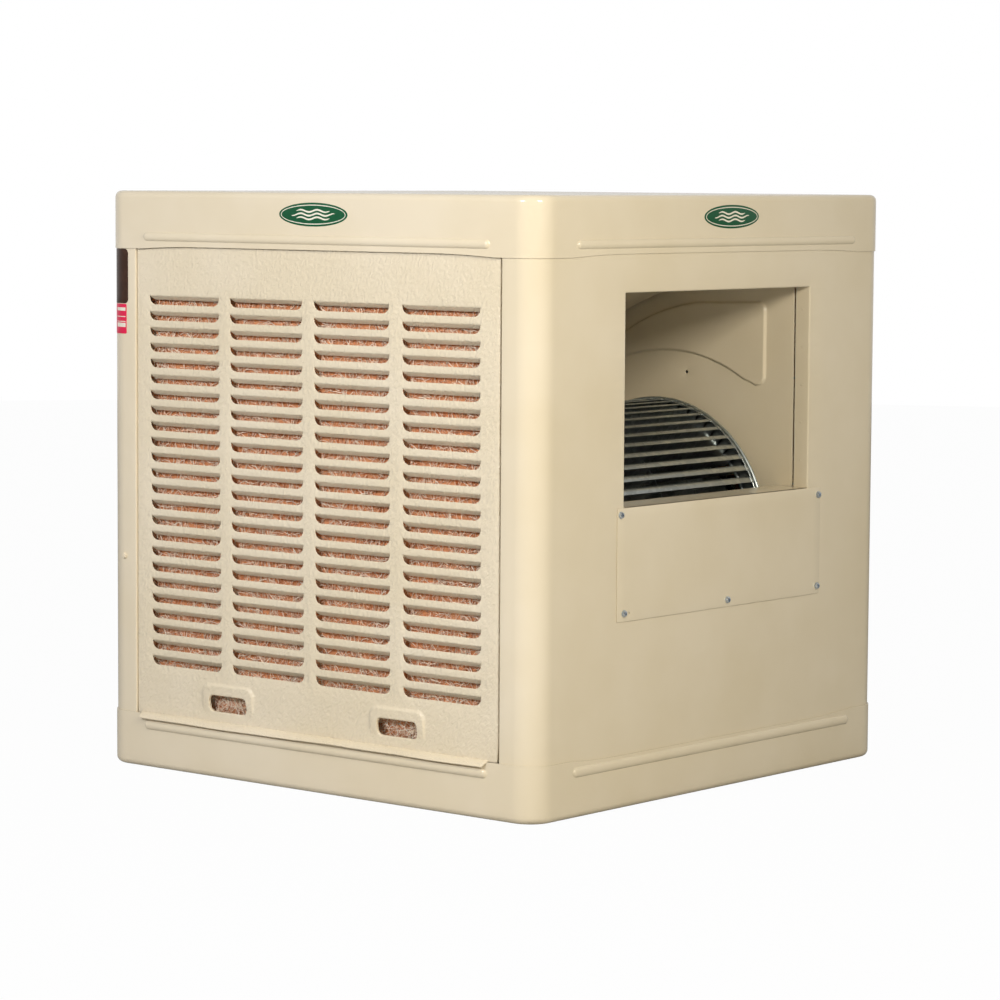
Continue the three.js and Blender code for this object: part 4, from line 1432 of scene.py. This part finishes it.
    def vanes(self, surface: Surface) -> None:
        """Adds a vane to every opening, each bent very slightly differently."""
        drawn = self.vane()
        luck = np.random.default_rng(11)
        for x, top in self.places():
            tilt = luck.normal(0, self.vane_scatter)
            c, s = math.cos(tilt), math.sin(tilt)
            turn = np.array([[1, 0, 0], [0, c, s], [0, -s, c]])
            at = np.array([x, 0.12 - self.relief(np.array([[x, top + 3.0]]))[0], top])
            surface.merge(drawn, lambda points: points @ turn + at)

    def lip(self, surface: Surface) -> None:
        """Adds the drip lip, flared out over the base pan's rim and a little wavy along its length."""
        along = np.linspace(*self.lip_ends, 90)
        wave = 0.7 * np.sin(along / 70.0 + 0.6) + 0.35 * np.sin(along / 23.0)
        path = [(2.0, 1.6), (0.0, 1.4), (-2.5, 0.6), (-6.0, -1.2), (-9.0, -3.6)]
        path.append((-self.lip_reach, -self.lip_drop + 2.4))
        rows = []
        for step, (deep, rise) in enumerate(path):
            share = step / (len(path) - 1)
            cut = along.copy()
            cut[0] += 5.0 * share
            cut[-1] -= 6.0 * share
            z = self.bottom + 0.9 + rise + wave * share * 0.9
            rows.append(np.column_stack([cut, deep + 0 * along, z]))
        top = np.stack(rows)
        low = top + [0, 0.25, -self.sheet]
        surface.grid(top)
        surface.grid(low, flip=True)
        for upper, under in ((top[-1], low[-1]), (top[:, 0], low[:, 0]), (top[:, -1], low[:, -1])):
            surface.grid([upper, under])

    def build(self) -> None:
        """Makes the three panels."""
        drawn = Surface()
        self.sheet_metal(drawn)
        self.vanes(drawn)
        self.lip(drawn)
        for side in Side:
            name, body = f"{side.label}_louvres", f"pad_assembly_{side.label}"
            placed = drawn.moved(lambda points: side.place(points + [0, self.face, 0]))
            make(name, placed, GRAINED_PAINT, body, [f"louvred_panel_{side.label}"], 38)


@dataclass
class AspenPad:
    """A wet pad: a lumpy mat of curled wood shavings, drawn facing -Y."""

    shavings: int = 29500
    steps: int = 4
    width: tuple[float, float] = (0.6, 1.4)
    length: tuple[float, float] = (14.0, 40.0)
    margin: float = 6.0
    back_share: float = 0.25
    front_layer: float = 6.0
    proud: float = 1.8
    # Where a band of shavings low on the pad is painted paler, and how far it reaches: painted light.
    painted_light_height: float = 35.0
    painted_light_reach: float = 40.0
    bottom_heavy: float = 1.12
    # Tones of the mat under the shavings; the low front one is painted shade deep in the pad.
    front_tone: float = 0.26
    back_tone: float = 0.45
    first_seed: int = 40
    lumps: tuple[tuple[float, float, float, float], ...] = (  # lengths along X and Z, and phases
        (9.0, 11.0, 0.3, 1.1),
        (17.0, 14.0, 2.0, 0.4),
        (5.5, 6.5, 1.0, 2.2),
    )

    def mat(self, surface: Surface, low: Array, high: Array) -> None:
        """Adds the lumpy core of the pad.

        Args:
            surface: What it is added to.
            low: The pad's lowest corner.
            high: Its highest corner.
        """
        across, up = np.linspace(low[0] + 1, high[0] - 1, 91), np.linspace(low[2] + 1, high[2] - 1, 85)
        x, z = np.meshgrid(across, up)
        lumps = sum(np.sin(x / a + p) * np.sin(z / b + q) for a, b, p, q in self.lumps)
        rim = np.minimum.reduce([x - low[0], high[0] - x, z - low[2], high[2] - z])
        swell = 1 - np.exp(-rim / 12.0)
        middle = (low[1] + high[1]) / 2
        front = middle - (middle - low[1] - self.front_layer + self.proud) * swell + lumps * 0.5 * swell
        back = middle + (high[1] - middle - 2.0) * swell + lumps * 0.4 * swell
        surface.grid(np.stack([x, front, z], axis=-1))
        surface.grid(np.stack([x, back, z], axis=-1)[::2, ::2], flip=True)

    def curls(self, low: Array, high: Array, seed: int) -> tuple[Array, Array]:
        """The shavings on both faces, as ribbons.

        Args:
            low: The pad's lowest corner.
            high: Its highest corner.
            seed: What the shavings' places are drawn from.

        Returns:
            The ribbons' points, as shavings x steps x 2 x 3, and each shaving's tone.
        """
        luck = np.random.default_rng(seed)
        n, steps, margin = self.shavings, self.steps, self.margin
        share = np.linspace(-0.5, 0.5, steps)
        long = luck.uniform(*self.length, n)
        heading = luck.uniform(0, 2 * np.pi, n) * 0.5 + luck.choice([0.0, np.pi / 2], n) * 0.3
        curl = luck.normal(0, 1.6, n)
        angle = heading[:, None] + curl[:, None] * share
        step_length = (long / (steps - 1))[:, None]
        x = np.cumsum(np.cos(angle) * step_length, axis=1)
        z = np.cumsum(np.sin(angle) * step_length, axis=1)
        x += luck.uniform(low[0] + margin, high[0] - margin, n)[:, None] - x.mean(axis=1, keepdims=True)
        height = luck.random(n) ** self.bottom_heavy
        rise = low[2] + margin + height * (high[2] - low[2] - 2 * margin)
        z += rise[:, None] - z.mean(axis=1, keepdims=True)
        back = luck.random(n) < self.back_share
        lie = luck.random(n) ** 0.6
        deep = lie[:, None]
        arch = luck.uniform(0.3, 2.4, n)[:, None] * (1 - (2 * share) ** 2)
        before = low[1] - self.proud + self.front_layer * deep + 1.6 - arch * (0.3 + 0.7 * deep)
        behind = high[1] - 0.5 - 2.5 * deep + arch * 0.3
        y = np.where(back[:, None], behind, before) + luck.normal(0, 0.25, (n, steps))
        middle = np.stack([x, y, z], axis=-1)
        twist = luck.uniform(0, np.pi, n)[:, None] + luck.normal(0, 1.1, n)[:, None] * share
        flat = np.cos(twist)
        across = np.stack([-np.sin(angle) * flat, 0.8 * np.sin(twist), np.cos(angle) * flat], axis=-1)
        half = luck.uniform(*self.width, n)[:, None, None] / 2 * across
        ribbon = np.stack([middle - half, middle + half], axis=2)
        ribbon = np.clip(ribbon, low + [0.3, -self.proud, 0.3], high - 0.3)
        # Shavings in a band low on the pad are painted paler: painted light.
        from_painted_light = z.mean(axis=1) - low[2] - self.painted_light_height
        painted_light = np.exp(-((from_painted_light / self.painted_light_reach) ** 2))
        # Deeper-lying shavings, and those on the back, get lower tones: painted shade.
        tone = np.clip(1.25 + 0.3 * painted_light - 1.0 * lie + luck.normal(0, 0.22, n), 0, 1)
        return ribbon, np.where(back, tone * 0.8, tone)

    def build(self) -> None:
        """Makes the three pads, each with its own shavings."""
        low, high = node_box("aspen_pad_left")
        for seed, side in enumerate(Side, start=self.first_seed):
            surface = Surface()
            self.mat(surface, low, high)
            front, back = (len(faces) for faces in surface.faces)
            ribbon, tone = self.curls(low, high, seed)
            index = np.arange(ribbon[..., 0].size).reshape(ribbon.shape[:3])
            quads = np.stack([index[:, :-1, 0], index[:, 1:, 0], index[:, 1:, 1], index[:, :-1, 1]], axis=-1)
            surface.add(ribbon.reshape(-1, 3), quads.reshape(-1, 4))
            core = [np.full(front, self.front_tone), np.full(back, self.back_tone)]
            tones = np.concatenate([*core, np.repeat(tone, self.steps - 1)])
            self.finish(surface.moved(side.place), tones, side.label)

    def finish(self, surface: Surface, tones: Array, label: str) -> None:
        """Makes one pad and paints each shaving's tone on it.

        Args:
            surface: The pad's shape.
            tones: A tone from 0 to 1 for each face.
            label: Which side it is on.
        """
        name, body, node = f"{label}_shavings", f"pad_assembly_{label}", f"aspen_pad_{label}"
        pad = make(name, surface, SHAVINGS, body, [node], None)
        tone = pad.data.attributes.new("shaving_tone", "FLOAT", "FACE")
        tone.data.foreach_set("value", tones.astype(np.float32))


# ---- blower ------------------------------------------------------------------------------------


@dataclass
class Scroll:
    """The blower's housing: a wrap that winds out round the wheel, and two side sheets."""

    shaft: tuple[float, float] = (160.0, 357.0)
    outlet_floor: float = 439.5
    outlet_top: float = 748.0
    cutoff_x: float = 368.0
    nose: float = 5.0
    sheet: float = 1.0
    edge: float = 0.3
    side_flange: float = 8.0
    inlet_radius: float = 169.0
    throat_bend: float = 6.0
    throat_depth: float = 14.0
    boss_rise: float = 4.0
    hole: tuple[float, float] = (194.6, 608.2)
    hole_radius: float = 3.0
    arcs: tuple[tuple[float, float, float, float, float], ...] = (  # centre, radius, both angles
        (146.0, 345.9, 240.9, 22.85, -90.0),
        (146.0, 371.0, 266.0, -90.0, -180.0),
        (257.0, 371.0, 377.0, 180.0, 90.0),
    )
    front: float = field(init=False)
    inside: float = field(init=False)

    def __post_init__(self) -> None:
        """Takes the housing's width and front from its CAD nodes."""
        self.front = float(node_box("scroll_side_left")[1][0])
        self.inside = float(node_box("scroll_side_right")[1][1]) - 1.5

    def path(self) -> Array:
        """The air side of the wrap in x and z, from under the outlet round to its top."""
        face = float(node_box("outlet_cover_plate")[0][0])
        floor = [[face, self.outlet_floor], [self.cutoff_x + 6, self.outlet_floor]]
        middle = (self.cutoff_x + self.nose, self.outlet_floor - self.nose)
        nose = arc(middle, (self.nose, self.nose), 90, 180, 5)
        bends = [arc((x, z), (r, r), a, b, 30)[1:] for x, z, r, a, b in self.arcs]
        return np.concatenate([floor, nose, *bends, [[self.front, self.outlet_top]]])

    def wrap(self) -> Surface:
        """The wrap, with its thickness."""
        path = self.path()
        outer = path + beside(path) * self.sheet
        half = float(node_box("scroll_wrap")[1][1])
        across = np.linspace(-half, half, 9)
        surface = Surface()
        surface.grid([at_y(path, y) for y in across])
        surface.grid([at_y(outer, y) for y in across], flip=True)
        for y in (-half, half):
            surface.grid([at_y(path, y), at_y(outer, y)])
        return surface

    def boss(self) -> Array:
        """The outline of the stiffening boss pressed into each side sheet, above the wheel."""
        inner = arc(self.shaft, (284, 284), 146, 59, 30)
        outer = arc((257.0, 371.0), (351, 351), 97, 148, 24)
        tip = arc((332, 606), (16, 14), 225, 360, 8)
        head = arc((334, 709), (14, 14), 0, 85, 5)
        return resampled(np.concatenate([tip, head, outer, inner]), 3.0)

    def throat(self) -> Array:
        """The rolled inlet, as radii and depths behind the side sheet."""
        r, bend, deep = self.inlet_radius, self.throat_bend, self.throat_depth
        turn = np.radians(np.linspace(0, 90, 7))
        roll = np.stack([r + bend - bend * np.sin(turn), bend * (1 - np.cos(turn))], axis=1)
        return np.concatenate([roll, [[r, deep], [r + 1.0, deep], [r + 1.0, deep / 2], [r + bend, 1.0]]])

    def side(self, sign: int) -> Surface:
        """A side sheet, with its rolled inlet.

        Args:
            sign: Which side it is on: -1 or 1, along Y.

        Returns:
            Its shape.
        """
        path = self.path()[7:-1]  # from the nose round to the outlet's top
        flange = path + beside(path) * self.side_flange
        low, high = self.outlet_floor - self.side_flange, self.outlet_top + self.side_flange
        foot = [[self.front, low], [flange[0, 0] + 6, low]]
        outline = np.concatenate([foot, flange, [[self.front, high]]])[::-1]
        x, z = self.shaft
        eye_radius = self.inlet_radius + self.throat_bend
        eye = arc(self.shaft, (eye_radius, eye_radius), 0, 356, 89)
        pin = arc(self.hole, (self.hole_radius, self.hole_radius), 0, 340, 17)
        boss = self.boss()
        within = [boss + outward(boss) * grow for grow in (-5, -3.5, -2.5, -1.5, -0.5, 0.5, 1.5)]
        within.append(lattice(np.linspace(-110, 395, 24), np.linspace(110, 750, 30)))
        plate = cut_plate(outline, [eye, pin], np.concatenate(within))
        wall = self.inside * sign

        def lift(points: Array, depth: Array | float) -> Array:
            """Stands the sheet up, with its boss pressed towards the wheel."""
            rise = self.boss_rise * smooth((distance_in(points, boss) + 0.5) / 4.0)
            return at_y(points, wall - sign * rise + sign * depth)

        surface = Surface()
        add_sheet(surface, plate, lift, self.sheet, self.edge)
        surface.turned(self.throat() * [1, -sign] + [0, wall], Axis((x, 0, z), "y"), 89)
        return surface

    def build(self) -> None:
        """Makes the wrap and both side sheets."""
        make_painted("scroll_wrap_sheet", self.wrap(), "scroll_wrap")
        for sign, node in ((-1, "scroll_side_left"), (1, "scroll_side_right")):
            make_painted(f"{node}_sheet", self.side(sign), node)


@dataclass
class BlowerWheel:
    """The squirrel-cage wheel: curved blades crimped into two channelled rings and a centre disc."""

    shaft: tuple[float, float] = (160.0, 357.0)
    blades: int = 64
    inner: float = 172.0
    blade_tip: float = 207.5
    thickness: float = 0.9
    blade_bend: float = 8.0
    tail: float = 3.5
    hub_radius: float = 24.0
    hub_half: float = 25.0
    bore: float = 9.8
    strip: float = 208.4
    radius: float = field(init=False)
    half: float = field(init=False)

    def __post_init__(self) -> None:
        """Takes the wheel's outside from its CAD node."""
        low, high = node_box("blower_wheel")
        self.radius = float(high[0] - low[0]) / 2
        self.half = float(high[1])

    def blade(self) -> Surface:
        """One blade at the +X side, curved forwards towards -Z, between the two rings."""
        r = self.blade_bend
        root = [[self.inner, 0.0], [self.inner + 12, 0.4]]
        turn = arc((self.blade_tip - r, -r), (r, r), 90, 0, 8)
        path = np.concatenate([root, turn, [[self.blade_tip, -r - self.tail]]])
        loop = np.concatenate([path, (path + beside(path) * self.thickness)[::-1]])
        surface = Surface()
        surface.tube([at_y(loop, y) for y in (-self.half + 5, -2.0, 2.0, self.half - 5)])
        return surface

    def tab(self, sign: int) -> Surface:
        """The tongue of a blade, crimped down on the outside of its end ring."""
        y = sign * (self.half - 11.0)
        outline = np.array([[-2.2, -12.0], [2.2, -12.0], [2.2, -3.0], [-2.2, -3.0]])
        middle = outline.mean(axis=0)
        rows = []
        for share, rise in ((1.0, -1.2), (1.0, 0.5), (0.75, 1.1)):
            ring = middle + (outline - middle) * share
            rows.append(np.column_stack([np.full(4, self.strip + rise), y + ring[:, 0], ring[:, 1]]))
        surface = Surface()
        surface.tube(rows)
        return surface

    def end_ring(self, sign: int) -> Surface:
        """A channelled end ring with a rolled outer rim; sign is -1 or 1 along Y."""
        h, r, s = self.half, self.radius, self.strip
        rim = arc((r - 3.0, h - 3.2), (3.0, 3.0), -60, 170, 12)
        web = [[r - 7.5, h - 2.2], [r - 10, h - 2.0], [self.inner + 12, h - 2.0]]
        inner = arc((self.inner + 8, h - 3.6), (2.2, 2.2), 90, 300, 8)
        back = [[self.inner + 11, h - 3.6], [s - 4, h - 3.6], [s - 3.4, h - 8.0], [s - 0.9, h - 9.8]]
        strip = [[s - 0.4, h - 10.2], [s, h - 9.8], [s, h - 7.4], [s - 2.6, h - 7.0], [s - 2.6, h - 5.4]]
        profile = np.concatenate([rim, web, inner, back, strip, rim[:1]]) * [1, sign]
        surface = Surface()
        surface.turned(profile, Y_AXIS, 128)
        return surface

    def centre(self) -> Surface:
        """The centre disc, with a swaged hub for the shaft."""
        b, r, h = self.bore, self.hub_radius, self.hub_half
        out = self.inner + 9
        front = [[b, -h], [r - 2, -h], [r, -h + 2], [r, -5], [r + 6, -1.2], [60, -0.6], [72, 2.0], [90, 2.0]]
        rim = [[100, -0.6], [out, -0.6], [out, 0.6], [101, 0.6], [90, 3.2], [72, 3.2]]
        back = [[61, 0.6], [r + 7, 1.2], [r, 5], [r, h - 2], [r - 2, h], [b, h], [b, -h]]
        surface = Surface()
        surface.turned(np.array([*front, *rim, *back]), Y_AXIS, 96)
        return surface

    def build(self) -> None:
        """Makes the wheel."""
        surface = Surface()
        blade_parts = [self.blade(), self.tab(-1), self.tab(1)]
        for number in range(self.blades):
            angle = 2 * math.pi * number / self.blades
            c, s = math.cos(angle), math.sin(angle)
            turn = np.array([[c, 0, -s], [0, 1, 0], [s, 0, c]])
            for part in blade_parts:
                surface.merge(part, lambda points: points @ turn)
        for part in (self.end_ring(-1), self.end_ring(1), self.centre()):
            surface.merge(part)
        x, z = self.shaft
        placed = surface.moved(lambda points: points + [x, 0, z])
        name, node = "squirrel_cage_wheel", "blower_wheel"
        make(name, placed, ZINC_SHEET, "blower_rotor", [node], 32)


# ---- marks -------------------------------------------------------------------------------------


@dataclass
class Badges:
    """A plain green oval with three cream ripples on the two best-seen sides, and two stickers."""

    half_width: float = 68.0
    half_height: float = 17.5
    centre_height: float = 856.0
    left_shift: float = 7.0
    outlet_shift: float = 22.0
    film: float = 0.35
    print_rise: float = 0.06
    border_inset: tuple[float, float] = (3.6, 3.0)
    border_width: float = 1.3
    ripple_width: float = 2.6
    ripple_rise: float = 1.7
    ripple_length: float = 5.2
    post_corner: float = 40.2
    sticker_end: float = 78.0
    sticker_face: float = 0.4

    def oval(self, place: Placing) -> Surface:
        """The badge's ground, drawn in its own plane: across, up, out."""
        surface = Surface()
        rim = arc((0, 0), (self.half_width, self.half_height), 0, 354, 59)
        rings = ((1.0, 0.0), (1.0, self.film * 0.7), (0.985, self.film))
        rows = [at_height(rim * share, out) for share, out in rings]
        surface.grid(rows, around=True)
        surface.cap(rows[-1])
        return surface.moved(place)

    def ripples(self, place: Placing) -> Surface:
        """A cream border line and three wavy lines across the badge."""
        surface = Surface()
        top = self.film + self.print_rise
        inset_x, inset_y = self.border_inset
        border = (self.half_width - inset_x, self.half_height - inset_y)
        rings = []
        for grow in (0.0, self.border_width):
            w, h = (size - grow for size in border)
            rings.append(at_height(arc((0, 0), (w, h), 0, 355, 71), top))
        surface.grid(rings, around=True)
        for level, half in ((5.4, 33.0), (0.0, 43.0), (-5.4, 33.0)):
            x = np.linspace(-half, half, 64)
            y = level + self.ripple_rise * np.sin(x / self.ripple_length)
            wide = self.ripple_width / 2 * np.sqrt(np.clip(1 - (x / half) ** 4, 0.02, 1))
            surface.grid([np.column_stack([x, y + way * wide, np.full(len(x), top)]) for way in (1, -1)])
        return surface.moved(place)

    def stickers(self) -> None:
        """Makes the two blank stickers on the left rear post, wrapped round its corner."""
        radius = self.post_corner
        flat = -float(node_box("rear_post_left")[0][0]) - radius

        def bent(points: Array) -> Array:
            """Wraps across, up, out round the post's corner; across runs from the face to the rear."""
            across, up, out = points.T
            turn = np.clip(across / radius, 0, math.pi / 2)
            along = np.minimum(across, 0)
            past = np.maximum(across - radius * math.pi / 2, 0)
            reach = radius + out
            x = -flat - along - reach * np.sin(turn)
            y = -flat - reach * np.cos(turn) + past
            return np.column_stack([x, y, up])

        def stuck(points: Array, depth: Array | float) -> Array:
            """Lays flat points on the post, at a depth behind the sticker's face."""
            return bent(at_height(points, self.sticker_face - depth))

        for name, finish, (foot, head), left, corner in (
            ("brown_sticker", BROWN_INK, (715.5, 799.0), -8.5, 7.0),
            ("pink_sticker", PINK_INK, (669.0, 714.5), -5.0, 2.0),
        ):
            outline = rounded_rectangle((left, foot), (self.sticker_end, head), corner, 4.0)
            within = lattice(np.linspace(left, self.sticker_end, 26), np.linspace(foot, head, 8))
            surface = Surface()
            add_sheet(surface, cut_plate(outline, [], within), stuck, 0.3, 0.1)
            make(name, surface, finish, "cabinet")
        bars = Surface()
        across, printed = np.linspace(-3.0, 20.0, 12), self.sticker_face + self.print_rise
        for foot, thick in ((704.0, 5.0), (694.5, 1.2), (687.0, 1.2), (679.0, 6.5)):
            edges = [lattice(across, np.array([up])) for up in (foot, foot + thick)]
            bars.grid([bent(at_height(edge, printed)) for edge in edges])
        make("pink_sticker_bars", bars, CREAM_INK, "cabinet")

    def build(self) -> None:
        """Makes the two badges and the two stickers."""
        half = float(node_box("top_pan")[1][0]) - BEAD_REACH

        def on_left(points: Array) -> Array:
            """Puts across, up, out on the top pan's left side."""
            across, up, out = points.T
            return np.column_stack([self.left_shift + across, -half - out, self.centre_height + up])

        def on_outlet(points: Array) -> Array:
            """Puts across, up, out on the top pan's outlet side."""
            across, up, out = points.T
            return np.column_stack([half + out, self.outlet_shift + across, self.centre_height + up])

        for label, place in (("left", on_left), ("outlet", on_outlet)):
            make(f"{label}_badge", self.oval(place), GREEN_INK, "cabinet")
            make(f"{label}_badge_ripples", self.ripples(place), CREAM_INK, "cabinet")
        self.stickers()


# ---- pieces kept from the frame ----------------------------------------------------------------

KEPT_FINISHES: dict[str, Finish] = {
    "galvanised_steel": ZINC_SHEET,
    "zinc_plated_steel": ZINC_PLATE,
    "ground_steel": GROUND_STEEL,
    "bronze": BRONZE,
    "motor_enamel": MOTOR_ENAMEL,
    "belt_rubber": RUBBER,
    "grey_plastic": GREY_PLASTIC,
    "white_plastic": WHITE_PLASTIC,
    "brass": BRASS,
    "float_plastic": RED_PLASTIC,
    "enamel_paint": PAINT,
    "embossed_enamel": GRAINED_PAINT,
    "aspen_wood": SHAVINGS,
}


def dress_kept_nodes() -> None:
    """Gives every CAD node the finish of its slot in the record."""
    for part in frame["record"]["subparts"]:
        node = frame["nodes"][part["node"]]
        finish = KEPT_FINISHES[part["material_slot"]].material()
        for slot in node.material_slots:
            slot.material = finish


# ---- studio ------------------------------------------------------------------------------------


@dataclass
class Studio:
    """The camera, a pale floor and soft light."""

    azimuth: float = 39.872
    elevation: float = 5.193
    roll: float = 0.359
    distance: float = 5.60894
    sideways: float = 0.00431
    aim_height: float = 0.4081
    lens: float = 128.84
    fill: float = 0.27
    behind: float = 0.8
    floor_radius: float = 9000.0
    floor_below: float = 0.5

    def camera(self) -> None:
        """Places the camera on its tripod, looking at the cabinet's near corner."""
        a, e, r = (math.radians(v) for v in (self.azimuth, self.elevation, self.roll))
        back = Vector((math.sin(a) * math.cos(e), -math.cos(a) * math.cos(e), math.sin(e)))
        right = Vector((math.cos(a), math.sin(a), 0.0))
        up = back.cross(right)
        x = right * math.cos(r) + up * math.sin(r)
        y = -right * math.sin(r) + up * math.cos(r)
        place = right * self.sideways + Vector((0, 0, self.aim_height)) + back * self.distance
        data = bpy.data.cameras.new("camera")
        data.lens = self.lens
        data.sensor_width = 36.0
        camera = bpy.data.objects.new("camera", data)
        turn = Matrix((x, y, back)).transposed().to_4x4()
        camera.matrix_world = Matrix.Translation(place) @ turn
        bpy.context.scene.collection.objects.link(camera)
        bpy.context.scene.camera = camera

    def softbox(
        self, name: str, place: Sequence[float], size: Sequence[float], power: float, colour: str
    ) -> None:
        """Hangs one rectangular lamp that faces the cooler.

        Args:
            name: The lamp's name.
            place: Where it hangs, in metres.
            size: Its width and height, in metres.
            power: Its power, in watts.
            colour: The colour of its light.
        """
        data = bpy.data.lights.new(name, "AREA")
        data.shape = "RECTANGLE"
        data.size, data.size_y = size
        data.energy = power
        data.color = linear(colour)[:3]
        lamp = bpy.data.objects.new(name, data)
        aim = Vector((0.1, -0.1, 0.45)) - Vector(place)
        lamp.matrix_world = Matrix.Translation(place) @ aim.to_track_quat("-Z", "Y").to_matrix().to_4x4()
        bpy.context.scene.collection.objects.link(lamp)

    def world(self) -> None:
        """Surrounds the studio with even light, and with white where the camera sees it."""
        world = bpy.data.worlds.new("studio")
        world.use_nodes = True
        tree = world.node_tree
        tree.nodes.clear()
        seen = add(tree, "LightPath", {}).outputs["Is Camera Ray"]
        way = add(tree, "TexCoord", {}).outputs["Generated"]
        turned = add(
            tree,
            "Mapping",
            {"Vector": way, "Rotation": (0.0, 0.0, -math.radians(self.azimuth))},
            vector_type="VECTOR",
        )
        beyond = add(tree, "SeparateXYZ", {"Vector": turned}).outputs["Y"]
        soft = add(tree, "MapRange", {"Value": beyond, "To Min": self.fill, "To Max": self.behind})
        strength = add(tree, "MapRange", {"Value": seen, "To Min": soft, "To Max": 1.0})
        glow = add(tree, "Background", {"Color": linear("#FFFFFF"), "Strength": strength})
        add(tree, "OutputWorld", {"Surface": glow})
        bpy.context.scene.world = world
        bpy.context.scene.view_settings.view_transform = "Standard"

    def floor(self) -> None:
        """Lays a round pale floor."""
        surface = Surface()
        rim = arc((0, 0), (self.floor_radius, self.floor_radius), 0, 355, 71)
        rows = [at_height(rim * share, -self.floor_below) for share in (1.0, 0.5, 0.2, 0.1)]
        surface.grid(rows, around=True)
        surface.cap(rows[-1])
        made = bpy.data.objects.new("studio_floor", surface.mesh("studio_floor", 40))
        made.data.materials.append(StudioCard().material())
        bpy.context.scene.collection.objects.link(made)
        made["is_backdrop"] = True

    def build(self) -> None:
        """Sets up the whole studio."""
        self.camera()
        self.world()
        self.floor()
        self.softbox("left_softbox", (0.1, -2.9, 1.65), (0.6, 0.5), 44.5, "#F5F6FF")
        self.softbox("right_softbox", (2.28, -1.3, 1.5), (0.6, 0.5), 37.5, "#FFF8EA")


def write_sizes() -> None:
    """Gathers the CAD box and the visual model's box as plain lists of numbers."""
    boxes = {"cad": CAD_BOX, "visual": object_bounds()}
    plain = {name: [[float(v) for v in corner] for corner in box] for name, box in boxes.items()}


def main() -> None:
    """Builds the cooler and the studio around it."""
    logging.basicConfig(level=logging.INFO, format="%(message)s")
    Studio().build()
    dress_kept_nodes()
    Pan("base_pan", edge_dip=5.0).build("drawn_base_pan")
    Pan("top_pan", bead_from_edge=18.5, bead_half_width=6.2, upside_down=True).build("drawn_top_pan")
    CornerSheets().build()
    CoverPlate().build()
    for number in range(1, 6):
        node = f"cover_screw_{number}"
        HexScrew().build(f"zinc_screw_{number}", node, (1, 0, 0), ZINC_PLATE, "zinc_plated_steel")
    HexScrew().build("left_post_screw", "post_screw_left", (0, -1, 0), PAINT, "enamel_paint")
    HexScrew().build("right_post_screw", "post_screw_right", (0, 1, 0), PAINT, "enamel_paint")
    LouvredPanel().build()
    AspenPad().build()
    Scroll().build()
    BlowerWheel().build()
    Badges().build()
    write_sizes()


if __name__ == "__main__":
    main()
